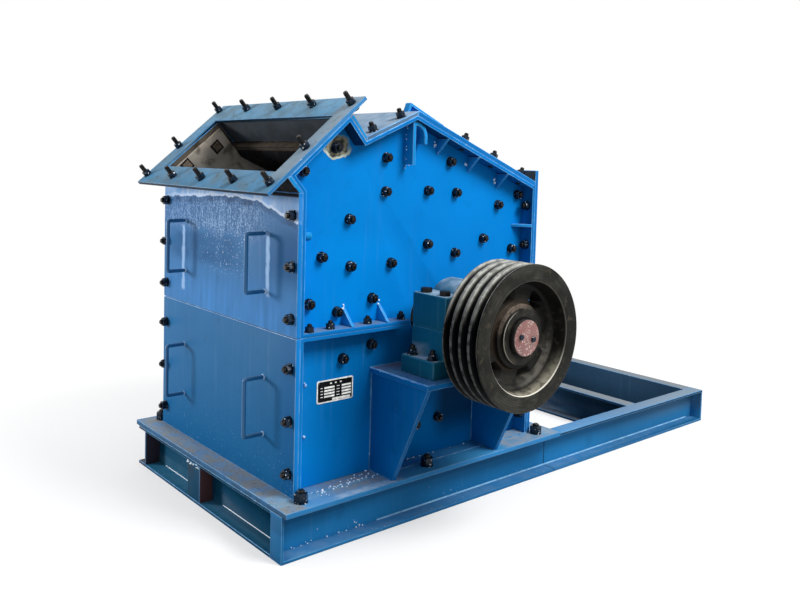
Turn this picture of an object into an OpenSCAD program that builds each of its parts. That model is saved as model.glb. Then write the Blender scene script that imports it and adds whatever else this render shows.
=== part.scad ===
// Hammer crusher on a welded channel base, in millimetres.
// X runs along the base from the feed end to the motor end, Y along the rotor
// from the pulley side to the far side, and Z is up. The pieces are drawn from
// the base's corner at the feed end on the pulley side, and then placed so that
// the origin lies on the ground below the middle of the rotor.

/* [Base frame] */
// Length of the base frame
base_length = 2236; // [2000:1:2600]
// Width of the base frame over its flange edges
base_width = 986; // [900:2:1100]
// Height of the channel section
rail_height = 140; // [100:1:200]
// Width of the channel's flanges
rail_flange = 60; // [50:1:70]
// Thickness of the channel's flanges
rail_flange_t = 10; // [8:0.5:14]
// Thickness of the channel's web
rail_web_t = 7; // [5:0.5:10]
// Left edge of the middle cross beam
mid_beam_x = 1736; // [1500:1:1800]
// Distance from the left edge of the cross beam below the foot plate to the plate's end
body_beam_inset = 74; // [66:1:82]
// Width of the post in the feed-end beam
post_width = 88; // [50:1:120]
// Distance of the post from the pulley-side edge of the base
post_y = 498; // [300:1:600]
// Thickness of the post and of the plates that close the rail ends
closure_t = 8; // [5:1:12]

/* [Foot plate] */
// Length of the foot plate
foot_length = 1192; // [1185:1:1230]
// Overhang of the foot plate past the rails
foot_overhang = 23; // [10:1:40]
// Thickness of the foot plate
foot_t = 16; // [12:1:25]
// Width of the foot plate's rim inside the walls, round the discharge
foot_rim = 16; // [10:1:30]

/* [Housing] */
// Feed-end face of the side walls
wall_x0 = 84; // [80:1:95]
// Rear face of the side walls
wall_x1 = 1087; // [1060:1:1095]
// Distance from the base edge to the side wall's outer face
wall_y = 104; // [95:1:115]
// Thickness of the side walls
wall_t = 16; // [12:1:20]
// How far the bolting flanges stand out of the side walls
flange_depth = 54; // [45:1:60]
// Thickness of the bolting flanges
flange_t = 12; // [8:1:14]
// Height of the joint between the lower and the upper housing
seam_z = 626; // [600:1:640]
// Half of the break in the middle flanges at the bearing
flange_break = 128; // [110:1:150]
// Thickness of the two front doors
door_t = 14; // [10:1:16]
// Clearance between the two doors, and between doors and foot plate
door_gap = 2; // [1:0.5:4]
// Thickness of the rear plates
rear_t = 15; // [10:1:20]
// Rise of the rear plates above the low end of the side walls' roof line
rear_rise = 57; // [25:1:100]

/* [Roof and feed inlet] */
// Horizontal position of the roof's peak
peak_x = 511; // [480:1:560]
// Height of the side walls at the peak
peak_z = 1288; // [1260:1:1320]
// Slope of the short roof behind the feed inlet
valley_slope = 23.4; // [18:0.1:28]
// Slope of the long roof
roof_slope = 21.2; // [16:0.1:24]
// Thickness of the short roof plate
valley_t = 12; // [8:1:16]
// Thickness of the long roof plate
roof_t = 16; // [10:1:20]
// Tilt of the feed inlet's flange
inlet_tilt = 40.8; // [36:0.1:45]
// Horizontal position of the inlet flange's lower edge
inlet_x = -35; // [-45:1:-25]
// Drop from the peak to the inlet flange's lower edge
inlet_drop = 243; // [235:1:251]
// Length of the inlet flange up its slope
inlet_length = 444; // [430:1:470]
// Inset of the inlet flange from the flanges of the side walls
inlet_inset = 2; // [0:1:6]
// Thickness of the inlet flange
inlet_t = 12; // [8:1:16]
// Distance up the slope to the inlet's mouth
mouth_start = 91; // [85:1:100]
// Length of the inlet's mouth up the slope
mouth_length = 261; // [240:1:265]
// Distance up the slope to the back wall of the chute
back_start = 361; // [355:1:368]
// Thickness of the chute's lip and back plates
chute_t = 12; // [8:1:14]
// Gap at the seams of pieces that lie on a sloping plate
seam_gap = 0.1; // [0.05:0.05:0.3]

/* [Liners] */
// Thickness of the side liners
liner_t = 14; // [10:1:20]
// Margin between the side liners and the housing's outline
liner_margin = 18; // [16:1:30]
// Thickness of the breaker plate
breaker_t = 36; // [25:1:45]
// Length of the breaker plate's hanging lip
breaker_lip = 46; // [40:1:60]
// Length of the breaker plate's sloping face
breaker_face = 300; // [250:1:320]
// Slope of the breaker plate's face below the horizontal
breaker_slope = 24; // [18:1:28]

/* [Trim] */
// Thickness of the stiffening gussets
gusset_t = 10; // [6:1:14]
// Height of the gussets on the middle flange
gusset_height = 54; // [40:1:70]
// Distance of the first middle gusset from the shaft's axis
gusset_first = 215; // [180:1:230]
// Distance between the two middle gussets
gusset_pitch = 138; // [100:1:160]
// Distance along X from the peak to the first roof gusset
roof_gusset_first = 133; // [110:1:150]
// Distance between the roof gussets
roof_gusset_pitch = 146; // [120:1:160]
// Height of the level gusset on the rear flange
rear_gusset_z = 916; // [860:1:960]
// Thickness of the lifting lugs
lug_t = 12; // [8:1:16]
// Depth of the lifting lugs out of the wall
lug_depth = 44; // [30:1:50]
// Radius of the bend on the lifting lugs
lug_bend = 49; // [30:1:52]
// Length of the long leg of the lifting lugs
lug_leg = 89; // [80:1:140]
// Height of the brackets on the peak at their high end
bracket_height = 31; // [25:1:60]
// Height of the brackets at their low end
bracket_low = 23; // [18:1:30]
// Length of the brackets down the long roof
bracket_length = 185; // [120:1:220]
// Length of the sloping nose at the brackets' low end
bracket_nose = 25; // [15:1:40]
// Width of the brackets
bracket_width = 27; // [20:1:50]
// Thickness of the plates of the brackets
bracket_t = 8; // [5:1:9]
// Diameter of the handle bar
handle_d = 16; // [10:1:18]
// How far the handles stand off the doors
handle_reach = 73; // [50:1:80]
// Length of the handles between leg centres
handle_length = 172; // [140:1:200]
// Distance of the handles from the middle of the door
handle_y = 266; // [200:1:300]
// Height of the middle of the upper handles
handle_upper_z = 829; // [780:1:880]
// Height of the middle of the lower handles
handle_lower_z = 392; // [340:1:440]
// Width of the data plate
plate_w = 136; // [100:1:160]
// Height of the data plate
plate_h = 70; // [50:1:90]
// Thickness of the data plate
plate_t = 2; // [1:0.5:4]
// Distance of the data plate's left edge from the feed end
plate_x = 181; // [150:1:220]
// Height of the data plate's lower edge
plate_z = 404; // [360:1:440]

/* [Rotor] */
// Distance of the rotor's axis from the feed end
axis_x = 628; // [600:1:640]
// Height of the rotor's axis
axis_z = 632; // [628:1:640]
// Shaft diameter between the bearings
shaft_d = 120; // [110:1:130]
// Shaft diameter in the bearings
journal_d = 100; // [90:1:105]
// Shaft diameter in the pulley
nose_d = 90; // [80:1:95]
// Clearance between the shaft and the holes in the walls
shaft_clearance = 18; // [8:1:25]
// Diameter of the rotor discs
disc_d = 500; // [440:1:540]
// Thickness of the rotor discs
disc_t = 25; // [18:1:35]
// Number of rotor discs
disc_count = 4; // [3:1:6]
// Clearance between the end discs and the side liners
rotor_clearance = 31; // [10:1:50]
// Radius at which the hammer pins sit
pin_circle_r = 195; // [180:1:205]
// Diameter of the hammer pins
pin_d = 44; // [30:1:50]
// Number of hammer rows
hammer_rows = 4; // [3:1:4]
// Radius of the circle that the hammer tips sweep
tip_r = 340; // [320:1:350]
// Width of a hammer round the rotor
hammer_w = 110; // [90:1:130]
// Gap between a hammer and the discs beside it
hammer_gap = 8; // [3:1:15]
// Gap that parts of the rotor keep at their seats
seat_gap = 0.1; // [0.05:0.05:0.3]

/* [Pulley] */
// Diameter of the pulley
pulley_d = 442; // [400:1:460]
// Distance from the base edge to the pulley's outer face
pulley_face = 340; // [330:1:380]
// Distance between the grooves
groove_pitch = 35.5; // [34:0.5:37]
// Number of grooves
groove_count = 4; // [2:1:4]
// Depth of the grooves
groove_depth = 25; // [15:1:28]
// Width of the ridges at the rim
ridge_w = 9; // [6:0.5:12]
// Radius of the recess in the pulley's face
recess_r = 170; // [160:1:178]
// Radius of the recess where it meets the web
recess_root_r = 160; // [155:1:170]
// Depth of the web below the pulley's outer face
web_depth = 56; // [40:1:70]
// Thickness of the web
web_t = 34; // [18:1:38]
// Radius of the hub's front boss
hub_r = 84; // [75:1:95]
// Depth of the hub's front below the pulley's face
hub_depth = 26; // [15:1:35]
// Radius of the hub's collar
collar_r = 98; // [96:1:105]
// Depth of the collar's front below the pulley's face
collar_depth = 38; // [35:1:45]
// Number of windows in the web
window_count = 6; // [4:1:6]
// Radius of the circle through the windows
window_circle_r = 129; // [126:1:132]
// Width of the windows across the web
window_w = 44; // [30:1:48]
// Angle that each window covers
window_angle = 28; // [16:1:34]
// Angle of the first window below the level
window_phase = 12; // [0:1:59]
// Radius of the cap on the shaft's end
end_cap_r = 55; // [50:1:60]
// Thickness of the cap on the shaft's end
end_cap_t = 15; // [10:1:20]

/* [Bearings and pedestals] */
// Distance from the base edge out to the middle of the bearing
bearing_out = 60; // [50:1:70]
// Width of the bearing housing along the shaft
bearing_w = 150; // [130:1:160]
// Length of the bearing's body
bearing_l = 298; // [270:1:310]
// Length of the bearing's foot
bearing_foot_l = 384; // [370:1:400]
// Height of the bearing's foot
bearing_foot_h = 55; // [40:1:65]
// Height of the bearing's foot above the ground
bearing_z = 489; // [480:1:500]
// Height of the flat top of the bearing above the rotor's axis
bearing_cap_h = 104; // [95:1:115]
// Radius of the round dome on the bearing's cap
dome_r = 100; // [85:1:110]
// Height of the dome's centre above the rotor's axis
dome_rise = 40; // [30:1:50]
// Inset of the dome from the ends of the bearing
dome_inset = 8; // [0:1:15]
// Radial clearance between a journal and its bearing
journal_clearance = 0.05; // [0.02:0.01:0.1]
// Thickness of the cover on the closed bearing
bearing_cover_t = 14; // [8:1:20]
// Radius of the cover on the closed bearing
bearing_cover_r = 85; // [75:1:95]
// Length of a pedestal's top plate along X
pedestal_l = 490; // [470:1:520]
// Thickness of a pedestal's plates
pedestal_t = 16; // [10:1:20]
// Reach of a pedestal's top plate past the base edge
pedestal_reach = 170; // [160:1:178]
// Width between the outer faces of a pedestal's side plates
pedestal_w = 474; // [440:1:480]
// Reach of the side plates past the base edge at their foot
pedestal_foot_reach = 11; // [0:1:20]
// Inset of the side plates from the top plate's edge
pedestal_inset = 8; // [4:1:14]

/* [Hidden] */
$fn = 72;

machine_blue = "#0a76cf";
base_blue = "#2268a4";
door_blue = "#44699c";
bearing_teal = "#0b4f68";
cast_grey = "#45433f";
bare_steel = "#8a8782";
liner_brown = "#6f655b";
cap_pink = "#a6706e";
plate_black = "#15171a";

big = base_length;
eps = 1;
foot_top = rail_height + foot_t;
side_edge = wall_y - flange_depth;
cover_width = base_width - 2 * side_edge;
door_x = wall_x0 - door_t;
mouth_end = mouth_start + mouth_length;
chamber_y0 = wall_y + wall_t + liner_t;
chamber_w = base_width - 2 * chamber_y0;
wall_hole_r = shaft_d / 2 + shaft_clearance;
pulley_w = groove_count * groove_pitch;
bearing_y = -bearing_out;
pedestal_top = bearing_z;
rotor_w = chamber_w - 2 * rotor_clearance;
disc_step = (rotor_w - disc_t) / (disc_count - 1);

// Plane geometry on the side view, with points as [x, z]
function along(p, a, d) = [p[0] + d * cos(a), p[1] + d * sin(a)];
function aside(p, a, d) = along(p, a + 90, d);
// Crossing of the line through p at angle a with the line through q at angle b
function meet(p, a, q, b) =
    let (s = ((q[0] - p[0]) * sin(b) - (q[1] - p[1]) * cos(b)) / sin(b - a))
    along(p, a, s);
// Angle of the edge from p to q
function edge_angle(p, q) = atan2(q[1] - p[1], q[0] - p[0]);
// Outline moved inwards by d; its points run clockwise
function inset(pts, d) = let (n = len(pts)) [for (i = [0 : n - 1])
    let (a = pts[(i + n - 1) % n], b = pts[i], c = pts[(i + 1) % n],
        u = edge_angle(a, b), v = edge_angle(b, c))
    meet(aside(b, u, -d), u, aside(b, v, -d), v)];

// The inlet's own frame: s up its slope, d down into the machine
inlet_z = peak_z - inlet_drop;
chute_angle = inlet_tilt - 90;
function inlet_point(s, d) = along(along([inlet_x, inlet_z], inlet_tilt, s), chute_angle, d);

// Corners of the upper side wall
lip_foot = meet([wall_x0, 0], 90, inlet_point(mouth_start, 0), chute_angle);
flange_seat = inlet_t + seam_gap;
lip_head = inlet_point(mouth_start, flange_seat);
back_head = inlet_point(back_start, flange_seat);
peak = [peak_x, peak_z];
valley = meet(inlet_point(back_start, 0), chute_angle, peak, valley_slope);
roof_end = [wall_x1, peak_z - (wall_x1 - peak_x) * tan(roof_slope)];
upper_outline = [[wall_x0, seam_z], lip_foot, lip_head, back_head, valley, peak, roof_end,
    [wall_x1, seam_z]];
lower_outline = [[wall_x0, foot_top], [wall_x0, seam_z], [wall_x1, seam_z], [wall_x1, foot_top]];
whole_outline = [[wall_x0, foot_top], lip_foot, lip_head, back_head, valley, peak, roof_end,
    [wall_x1, foot_top]];

// Corners of the cover plates
lip_outer_foot = meet([door_x, 0], 90, inlet_point(mouth_start - chute_t, 0), chute_angle);
lip_outer_head = inlet_point(mouth_start - chute_t, flange_seat);
back_outer_head = inlet_point(back_start + chute_t, flange_seat);
valley_outer = meet(inlet_point(back_start + chute_t, 0), chute_angle,
    aside(peak, valley_slope, valley_t), valley_slope);
peak_outer = meet(aside(peak, valley_slope, valley_t), valley_slope,
    aside(peak, -roof_slope, roof_t), -roof_slope);
roof_outer_end = meet(peak_outer, -roof_slope, roof_end, 90);
rear_top = roof_end[1] + rear_rise;

// Breaker plate: a lip that hangs from the valley, then a sloping face
breaker_top = inset(whole_outline, liner_margin)[4];
breaker_knee = along(breaker_top, chute_angle, breaker_lip);

// A side view profile drawn at y, w thick towards +Y
module profile(pts, y, w) {
    translate([0, y + w, 0]) rotate([90, 0, 0]) linear_extrude(w) polygon(pts);
}
// Children repeated on the far side of the machine
module far_side() {
    translate([0, base_width, 0]) mirror([0, 1, 0]) children();
}
// Moves the drawn machine to its origin below the middle of the rotor
module place() {
    translate([-axis_x, -base_width / 2, 0]) children();
}
// A round bar along Y round the rotor's axis, from y0 to y1
module axis_bar(r, y0, y1) {
    translate([axis_x, y1, axis_z]) rotate([90, 0, 0]) cylinder(r = r, h = y1 - y0);
}
// A channel l long towards +X, its web on the inner side and its flanges towards -Y
module channel(l) {
    translate([0, rail_flange - rail_web_t, 0]) cube([l, rail_web_t, rail_height]);
    for (z = [0, rail_height - rail_flange_t])
        translate([0, 0, z]) cube([l, rail_flange, rail_flange_t]);
}
// A cross channel between the webs of the rails, its flanges towards -X
module cross_channel(x) {
    span = base_width - 2 * rail_flange;
    translate([x, rail_flange + span, 0]) rotate([0, 0, -90]) channel(span);
}

// ---- base frame ----
module rail() {
    channel(base_length);
    inner = rail_height - 2 * rail_flange_t;
    for (x = [0, base_length - closure_t])
        translate([x, 0, rail_flange_t - eps / 2])
            cube([closure_t, rail_flange - rail_web_t / 2, inner + eps]);
}
module rail_near() { color(base_blue) rail(); }
module rail_far() { color(base_blue) far_side() channel(base_length); }
module end_beam_feed() { color(base_blue) cross_channel(0); }
module end_beam_motor() {
    color(base_blue) translate([base_length, 0, 0]) mirror([1, 0, 0]) cross_channel(0);
}
module cross_beam_body() { color(base_blue) cross_channel(foot_length - body_beam_inset); }
module cross_beam_mid() { color(base_blue) cross_channel(mid_beam_x); }
// The post closes the channel of the feed-end beam with a face and two cheeks
module end_beam_post() {
    inner = rail_height - 2 * rail_flange_t;
    depth = rail_flange - rail_web_t;
    color(base_blue) translate([0, post_y, rail_flange_t]) {
        cube([closure_t, post_width, inner]);
        for (y = [0, post_width - closure_t])
            translate([0, y, 0]) cube([depth, closure_t, inner]);
    }
}
module foot_plate() {
    hole_x0 = wall_x0 + foot_rim;
    hole_y0 = wall_y + wall_t + foot_rim;
    color(base_blue) difference() {
        translate([0, -foot_overhang, rail_height])
            cube([foot_length, base_width + 2 * foot_overhang, foot_t]);
        translate([hole_x0, hole_y0, rail_height - eps])
            cube([wall_x1 - foot_rim - hole_x0, base_width - 2 * hole_y0, foot_t + 2 * eps]);
    }
}

// ---- housing ----
module wall_opening() {
    axis_bar(wall_hole_r, wall_y - big, wall_y + big);
}
// The middle flanges stop short of the bearing
module middle_break() {
    translate([axis_x - flange_break, side_edge - eps, seam_z - flange_t - eps])
        cube([2 * flange_break, flange_depth + eps, 2 * (flange_t + eps)]);
}
module upper_wall() {
    difference() {
        union() {
            profile(upper_outline, wall_y, wall_t);
            difference() {
                profile(upper_outline, side_edge, flange_depth + eps);
                profile(inset(upper_outline, flange_t), side_edge - eps, flange_depth + 3 * eps);
            }
        }
        wall_opening();
        middle_break();
    }
}
module lower_wall() {
    inner_w = wall_x1 - wall_x0 - 2 * flange_t;
    difference() {
        union() {
            profile(lower_outline, wall_y, wall_t);
            difference() {
                profile(lower_outline, side_edge, flange_depth + eps);
                translate([wall_x0 + flange_t, side_edge - eps, foot_top - eps])
                    cube([inner_w, flange_depth + 3 * eps, seam_z - flange_t - foot_top + eps]);
            }
        }
        wall_opening();
        middle_break();
    }
}
module lower_wall_near() { color(machine_blue) lower_wall(); }
module lower_wall_far() { color(machine_blue) far_side() lower_wall(); }
module upper_wall_near() { color(machine_blue) upper_wall(); }
module upper_wall_far() { color(machine_blue) far_side() upper_wall(); }

module door_lower() {
    color(door_blue) translate([door_x, side_edge, foot_top])
        cube([door_t, cover_width, seam_z - door_gap / 2 - foot_top]);
}
module door_upper() {
    z0 = seam_z + door_gap / 2;
    color(door_blue)
        profile([[door_x, z0], lip_outer_foot, lip_foot, [wall_x0, z0]], side_edge, cover_width);
}
module rear_plate_lower() {
    color(machine_blue) translate([wall_x1, side_edge, foot_top])
        cube([rear_t, cover_width, seam_z - foot_top]);
}
module rear_plate_upper() {
    color(machine_blue) translate([wall_x1, side_edge, seam_z])
        cube([rear_t, cover_width, rear_top - seam_z]);
}

// ---- feed inlet and roof ----
module inlet_flange() {
    mouth_y = wall_y + wall_t;
    edge_y = side_edge + inlet_inset;
    color(base_blue) difference() {
        profile([inlet_point(0, 0), inlet_point(inlet_length, 0),
            inlet_point(inlet_length, inlet_t), inlet_point(0, inlet_t)],
            edge_y, base_width - 2 * edge_y);
        profile([inlet_point(mouth_start, -eps), inlet_point(mouth_end, -eps),
            inlet_point(mouth_end, inlet_t + eps), inlet_point(mouth_start, inlet_t + eps)],
            mouth_y, base_width - 2 * mouth_y);
    }
}
module inlet_lip_plate() {
    color(machine_blue)
        profile([lip_foot, lip_outer_foot, lip_outer_head, lip_head], side_edge, cover_width);
}
module inlet_back_plate() {
    color(machine_blue)
        profile([back_head, back_outer_head, valley_outer, valley], side_edge, cover_width);
}
module valley_roof() {
    color(machine_blue)
        profile([valley, valley_outer, peak_outer, peak], side_edge, cover_width);
}
module main_roof() {
    color(machine_blue)
        profile([peak, peak_outer, roof_outer_end, roof_end], side_edge, cover_width);
}

// ---- gussets, lugs and brackets ----
// A triangular gusset across X at x; its edge on the flange is at z, its tip h away from it
module cross_gusset(x, z, h) {
    translate([x, 0, 0]) rotate([90, 0, 90]) linear_extrude(gusset_t)
        polygon([[wall_y, z], [side_edge, z], [wall_y, z + h]]);
}
// Height of the underside of the long roof's flange at x
function roof_under(x) = peak_z - (x - peak_x) * tan(roof_slope) - flange_t / cos(roof_slope);
module gussets() {
    for (side = [-1, 1], i = [0, 1])
        cross_gusset(axis_x + side * (gusset_first + i * gusset_pitch) - gusset_t / 2,
            seam_z + flange_t, gusset_height);
    for (i = [0 : 2])
        let (x = peak_x + roof_gusset_first + i * roof_gusset_pitch)
            cross_gusset(x, roof_under(x + gusset_t), -gusset_height);
    translate([wall_x1 - flange_t, 0, rear_gusset_z]) linear_extrude(gusset_t)
        polygon([[0, wall_y], [0, side_edge], [-flange_depth, wall_y]]);
}
module gussets_near() { color(machine_blue) gussets(); }
module gussets_far() { color(machine_blue) far_side() gussets(); }

// A flat bar on the wall, bent over into a hook below the peak
module lifting_lug() {
    top = peak_z - flange_t / cos(valley_slope) - lug_t * tan(valley_slope);
    x = peak_x - 3 / 4 * lug_t;
    short_leg = lug_leg / 4;
    knee = top - lug_bend;
    translate([0, wall_y, 0]) rotate([90, 0, 0]) linear_extrude(lug_depth) {
        translate([x, top - lug_leg - lug_bend]) square([lug_t, lug_leg + lug_bend]);
        translate([x + lug_t, knee]) intersection() {
            difference() {
                circle(r = lug_bend);
                circle(r = lug_bend - lug_t);
            }
            square(lug_bend);
        }
        translate([x + lug_bend, knee - short_leg]) square([lug_t, short_leg]);
    }
}
module lifting_lugs() {
    color(machine_blue) {
        lifting_lug();
        far_side() lifting_lug();
    }
}
// A tapering box on the long roof beside the peak, open below and to the outer side
module peak_bracket() {
    foot = aside(peak_outer, -roof_slope, seam_gap);
    tail = along(foot, -roof_slope, bracket_length);
    head = aside(foot, -roof_slope, bracket_height);
    shoulder = aside(along(tail, -roof_slope, -bracket_nose), -roof_slope, bracket_low);
    below = -bracket_t - eps;
    difference() {
        profile([foot, head, shoulder, tail], wall_y, bracket_width);
        profile(inset([aside(foot, -roof_slope, below), head, shoulder,
            aside(tail, -roof_slope, below)], bracket_t), wall_y - eps,
            bracket_width - bracket_t + eps);
    }
}
module peak_brackets() {
    color(machine_blue) {
        peak_bracket();
        far_side() peak_bracket();
    }
}

// ---- handles and data plate ----
module handle(y, z) {
    half = handle_length / 2;
    grip_x = door_x - handle_reach + handle_d / 2;
    for (side = [-1, 1])
        translate([grip_x, y, z + side * half]) {
            rotate([0, 90, 0]) cylinder(d = handle_d, h = door_x - grip_x);
            sphere(d = handle_d);
        }
    translate([grip_x, y, z - half]) cylinder(d = handle_d, h = handle_length);
}
module handle_pair(z) {
    for (side = [-1, 1]) handle(base_width / 2 + side * handle_y, z);
}
module handles_lower() { color(door_blue) handle_pair(handle_lower_z); }
module handles_upper() { color(door_blue) handle_pair(handle_upper_z); }
module data_plate() {
    color(plate_black) translate([plate_x, wall_y - plate_t, plate_z])
        cube([plate_w, plate_t, plate_h]);
}

// ---- liners ----
module side_liner() {
    difference() {
        profile(inset(whole_outline, liner_margin), wall_y + wall_t, liner_t);
        wall_opening();
    }
}
module side_liner_near() { color(liner_brown) side_liner(); }
module side_liner_far() { color(liner_brown) far_side() side_liner(); }
module breaker_plate() {
    tail = along(breaker_knee, -breaker_slope, breaker_face);
    color(liner_brown) profile([
        breaker_top,
        aside(breaker_top, chute_angle, breaker_t),
        meet(aside(breaker_top, chute_angle, breaker_t), chute_angle,
            aside(breaker_knee, -breaker_slope, breaker_t), -breaker_slope),
        aside(tail, -breaker_slope, breaker_t),
        tail,
        breaker_knee], chamber_y0, chamber_w);
}

// ---- pedestals and bearings ----
module pedestal() {
    x0 = axis_x - pedestal_l / 2;
    translate([x0, -pedestal_reach, pedestal_top - pedestal_t])
        cube([pedestal_l, pedestal_reach + wall_y, pedestal_t]);
    for (x = [axis_x - pedestal_w / 2, axis_x + pedestal_w / 2 - pedestal_t])
        translate([x, 0, 0]) rotate([90, 0, 90]) linear_extrude(pedestal_t)
            polygon([[wall_y, foot_top], [-pedestal_foot_reach, foot_top],
                [pedestal_inset - pedestal_reach, pedestal_top - pedestal_t],
                [wall_y, pedestal_top - pedestal_t]]);
}
module pedestal_near() { color(base_blue) pedestal(); }
module pedestal_far() { color(base_blue) far_side() pedestal(); }
module bearing_block(z0, z1, l) {
    translate([axis_x - l / 2, bearing_y - bearing_w / 2, z0]) cube([l, bearing_w, z1 - z0]);
}
module journal_bore() {
    axis_bar(journal_d / 2 + journal_clearance, -bearing_out - bearing_w, big);
}
module bearing_base() {
    difference() {
        union() {
            bearing_block(bearing_z, axis_z, bearing_l);
            bearing_block(bearing_z, bearing_z + bearing_foot_h, bearing_foot_l);
        }
        journal_bore();
    }
}
module bearing_cap() {
    y0 = bearing_y - bearing_w / 2 + dome_inset;
    difference() {
        union() {
            bearing_block(axis_z, axis_z + bearing_cap_h, bearing_l);
            translate([0, 0, dome_rise]) axis_bar(dome_r, y0, y0 + bearing_w - 2 * dome_inset);
        }
        journal_bore();
        translate([0, -big / 2, axis_z - big]) cube([big, big, big]);
    }
}
module bearing_base_near() { color(bearing_teal) bearing_base(); }
module bearing_base_far() { color(bearing_teal) far_side() bearing_base(); }
module bearing_cap_near() { color(bearing_teal) bearing_cap(); }
module bearing_cap_far() { color(bearing_teal) far_side() bearing_cap(); }
module bearing_cover_far() {
    y = base_width + bearing_out + bearing_w / 2;
    color(bearing_teal) axis_bar(bearing_cover_r, y, y + bearing_cover_t);
}

// ---- rotor ----
shaft_y0 = -pulley_face + hub_depth;
bearing_inner_y = bearing_y + bearing_w / 2;
bearing_outer_y = bearing_y - bearing_w / 2;
module shaft() {
    color(bare_steel) {
        axis_bar(shaft_d / 2, bearing_inner_y + flange_t, base_width - bearing_inner_y - flange_t);
        axis_bar(journal_d / 2, bearing_outer_y - flange_t, base_width - bearing_outer_y - eps);
        axis_bar(nose_d / 2, shaft_y0, bearing_outer_y);
    }
}
// Half of the pulley's section, as [radius, distance from the outer face]
module pulley_section() {
    r = pulley_d / 2;
    flank = (groove_pitch - ridge_w) / 2;
    floor_half = flank / 3;
    hub_back = pulley_w + hub_depth / 2;
    bore_r = nose_d / 2 + seat_gap;
    rim_root = r - groove_depth - flange_t;
    polygon(concat(
        [[bore_r, hub_depth], [hub_r, hub_depth], [hub_r, collar_depth], [collar_r, collar_depth],
         [collar_r, web_depth], [recess_root_r, web_depth], [recess_r, 0], [r, 0]],
        [for (i = [0 : groove_count - 1])
            let (c = (i + 0.5) * groove_pitch)
            each [[r, c - flank], [r - groove_depth, c - floor_half],
                [r - groove_depth, c + floor_half], [r, c + flank]]],
        [[r, pulley_w], [rim_root, pulley_w], [recess_root_r, web_depth + web_t],
         [collar_r, web_depth + web_t], [collar_r, hub_back], [bore_r, hub_back]]));
}
// A window through the web: a ring sector
module pulley_window() {
    half = window_angle / 2;
    far = 2 * window_circle_r;
    linear_extrude(pulley_w) intersection() {
        difference() {
            circle(r = window_circle_r + window_w / 2);
            circle(r = window_circle_r - window_w / 2);
        }
        polygon([[0, 0], [far * cos(half), far * sin(half)], [far * cos(half), -far * sin(half)]]);
    }
}
module pulley() {
    color(cast_grey) translate([axis_x, -pulley_face, axis_z]) rotate([-90, 0, 0]) difference() {
        rotate_extrude() pulley_section();
        for (i = [0 : window_count - 1])
            rotate([0, 0, window_phase + i * 360 / window_count]) pulley_window();
    }
}
module shaft_end_cap() {
    color(cap_pink) axis_bar(end_cap_r, shaft_y0 - end_cap_t, shaft_y0);
}
disc_y0 = chamber_y0 + rotor_clearance;
module rotor_discs() {
    color(liner_brown) for (i = [0 : disc_count - 1]) {
        y = disc_y0 + i * disc_step;
        difference() {
            axis_bar(disc_d / 2, y, y + disc_t);
            axis_bar(shaft_d / 2 + seat_gap, y - eps, y + disc_t + eps);
            for_rows() axis_bar(pin_d / 2 + seat_gap, y - eps, y + disc_t + eps);
        }
    }
}
// Children moved to each row of hammer pins
module for_rows() {
    for (i = [0 : hammer_rows - 1]) {
        a = i * 360 / hammer_rows + 45;
        translate([pin_circle_r * cos(a), 0, pin_circle_r * sin(a)]) children();
    }
}
module hammer_pins() {
    color(bare_steel) for_rows() axis_bar(pin_d / 2, disc_y0, disc_y0 + rotor_w);
}
module hammers() {
    eye = hammer_w / 2;
    w = disc_step - disc_t - 2 * hammer_gap;
    color(liner_brown) for (row = [0 : hammer_rows - 1], bay = [0 : disc_count - 2]) {
        y0 = disc_y0 + bay * disc_step + disc_t + hammer_gap;
        a = row * 360 / hammer_rows + 45;
        translate([axis_x, y0 + w, axis_z]) rotate([90, 0, 0]) rotate([0, 0, a]) difference() {
            linear_extrude(w) translate([pin_circle_r - eye, -hammer_w / 2])
                square([tip_r - pin_circle_r + eye, hammer_w]);
            translate([pin_circle_r, 0, -eps]) cylinder(d = pin_d + 2 * seat_gap, h = w + 2 * eps);
        }
    }
}

place() rail_near();
place() rail_far();
place() end_beam_feed();
place() end_beam_post();
place() end_beam_motor();
place() cross_beam_body();
place() cross_beam_mid();
place() foot_plate();
place() lower_wall_near();
place() lower_wall_far();
place() upper_wall_near();
place() upper_wall_far();
place() door_lower();
place() door_upper();
place() handles_lower();
place() handles_upper();
place() rear_plate_lower();
place() rear_plate_upper();
place() inlet_flange();
place() inlet_lip_plate();
place() inlet_back_plate();
place() valley_roof();
place() main_roof();
place() gussets_near();
place() gussets_far();
place() lifting_lugs();
place() peak_brackets();
place() side_liner_near();
place() side_liner_far();
place() breaker_plate();
place() data_plate();
place() pedestal_near();
place() pedestal_far();
place() bearing_base_near();
place() bearing_base_far();
place() bearing_cap_near();
place() bearing_cap_far();
place() bearing_cover_far();
place() shaft();
place() pulley();
place() shaft_end_cap();
place() rotor_discs();
place() hammer_pins();
place() hammers();
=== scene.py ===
import math
import random
from functools import partial

import bmesh
import bpy
from bpy.props import (
    FloatProperty,
    FloatVectorProperty,
    IntProperty,
    PointerProperty,
)
from mathutils import Matrix, Vector


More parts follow.
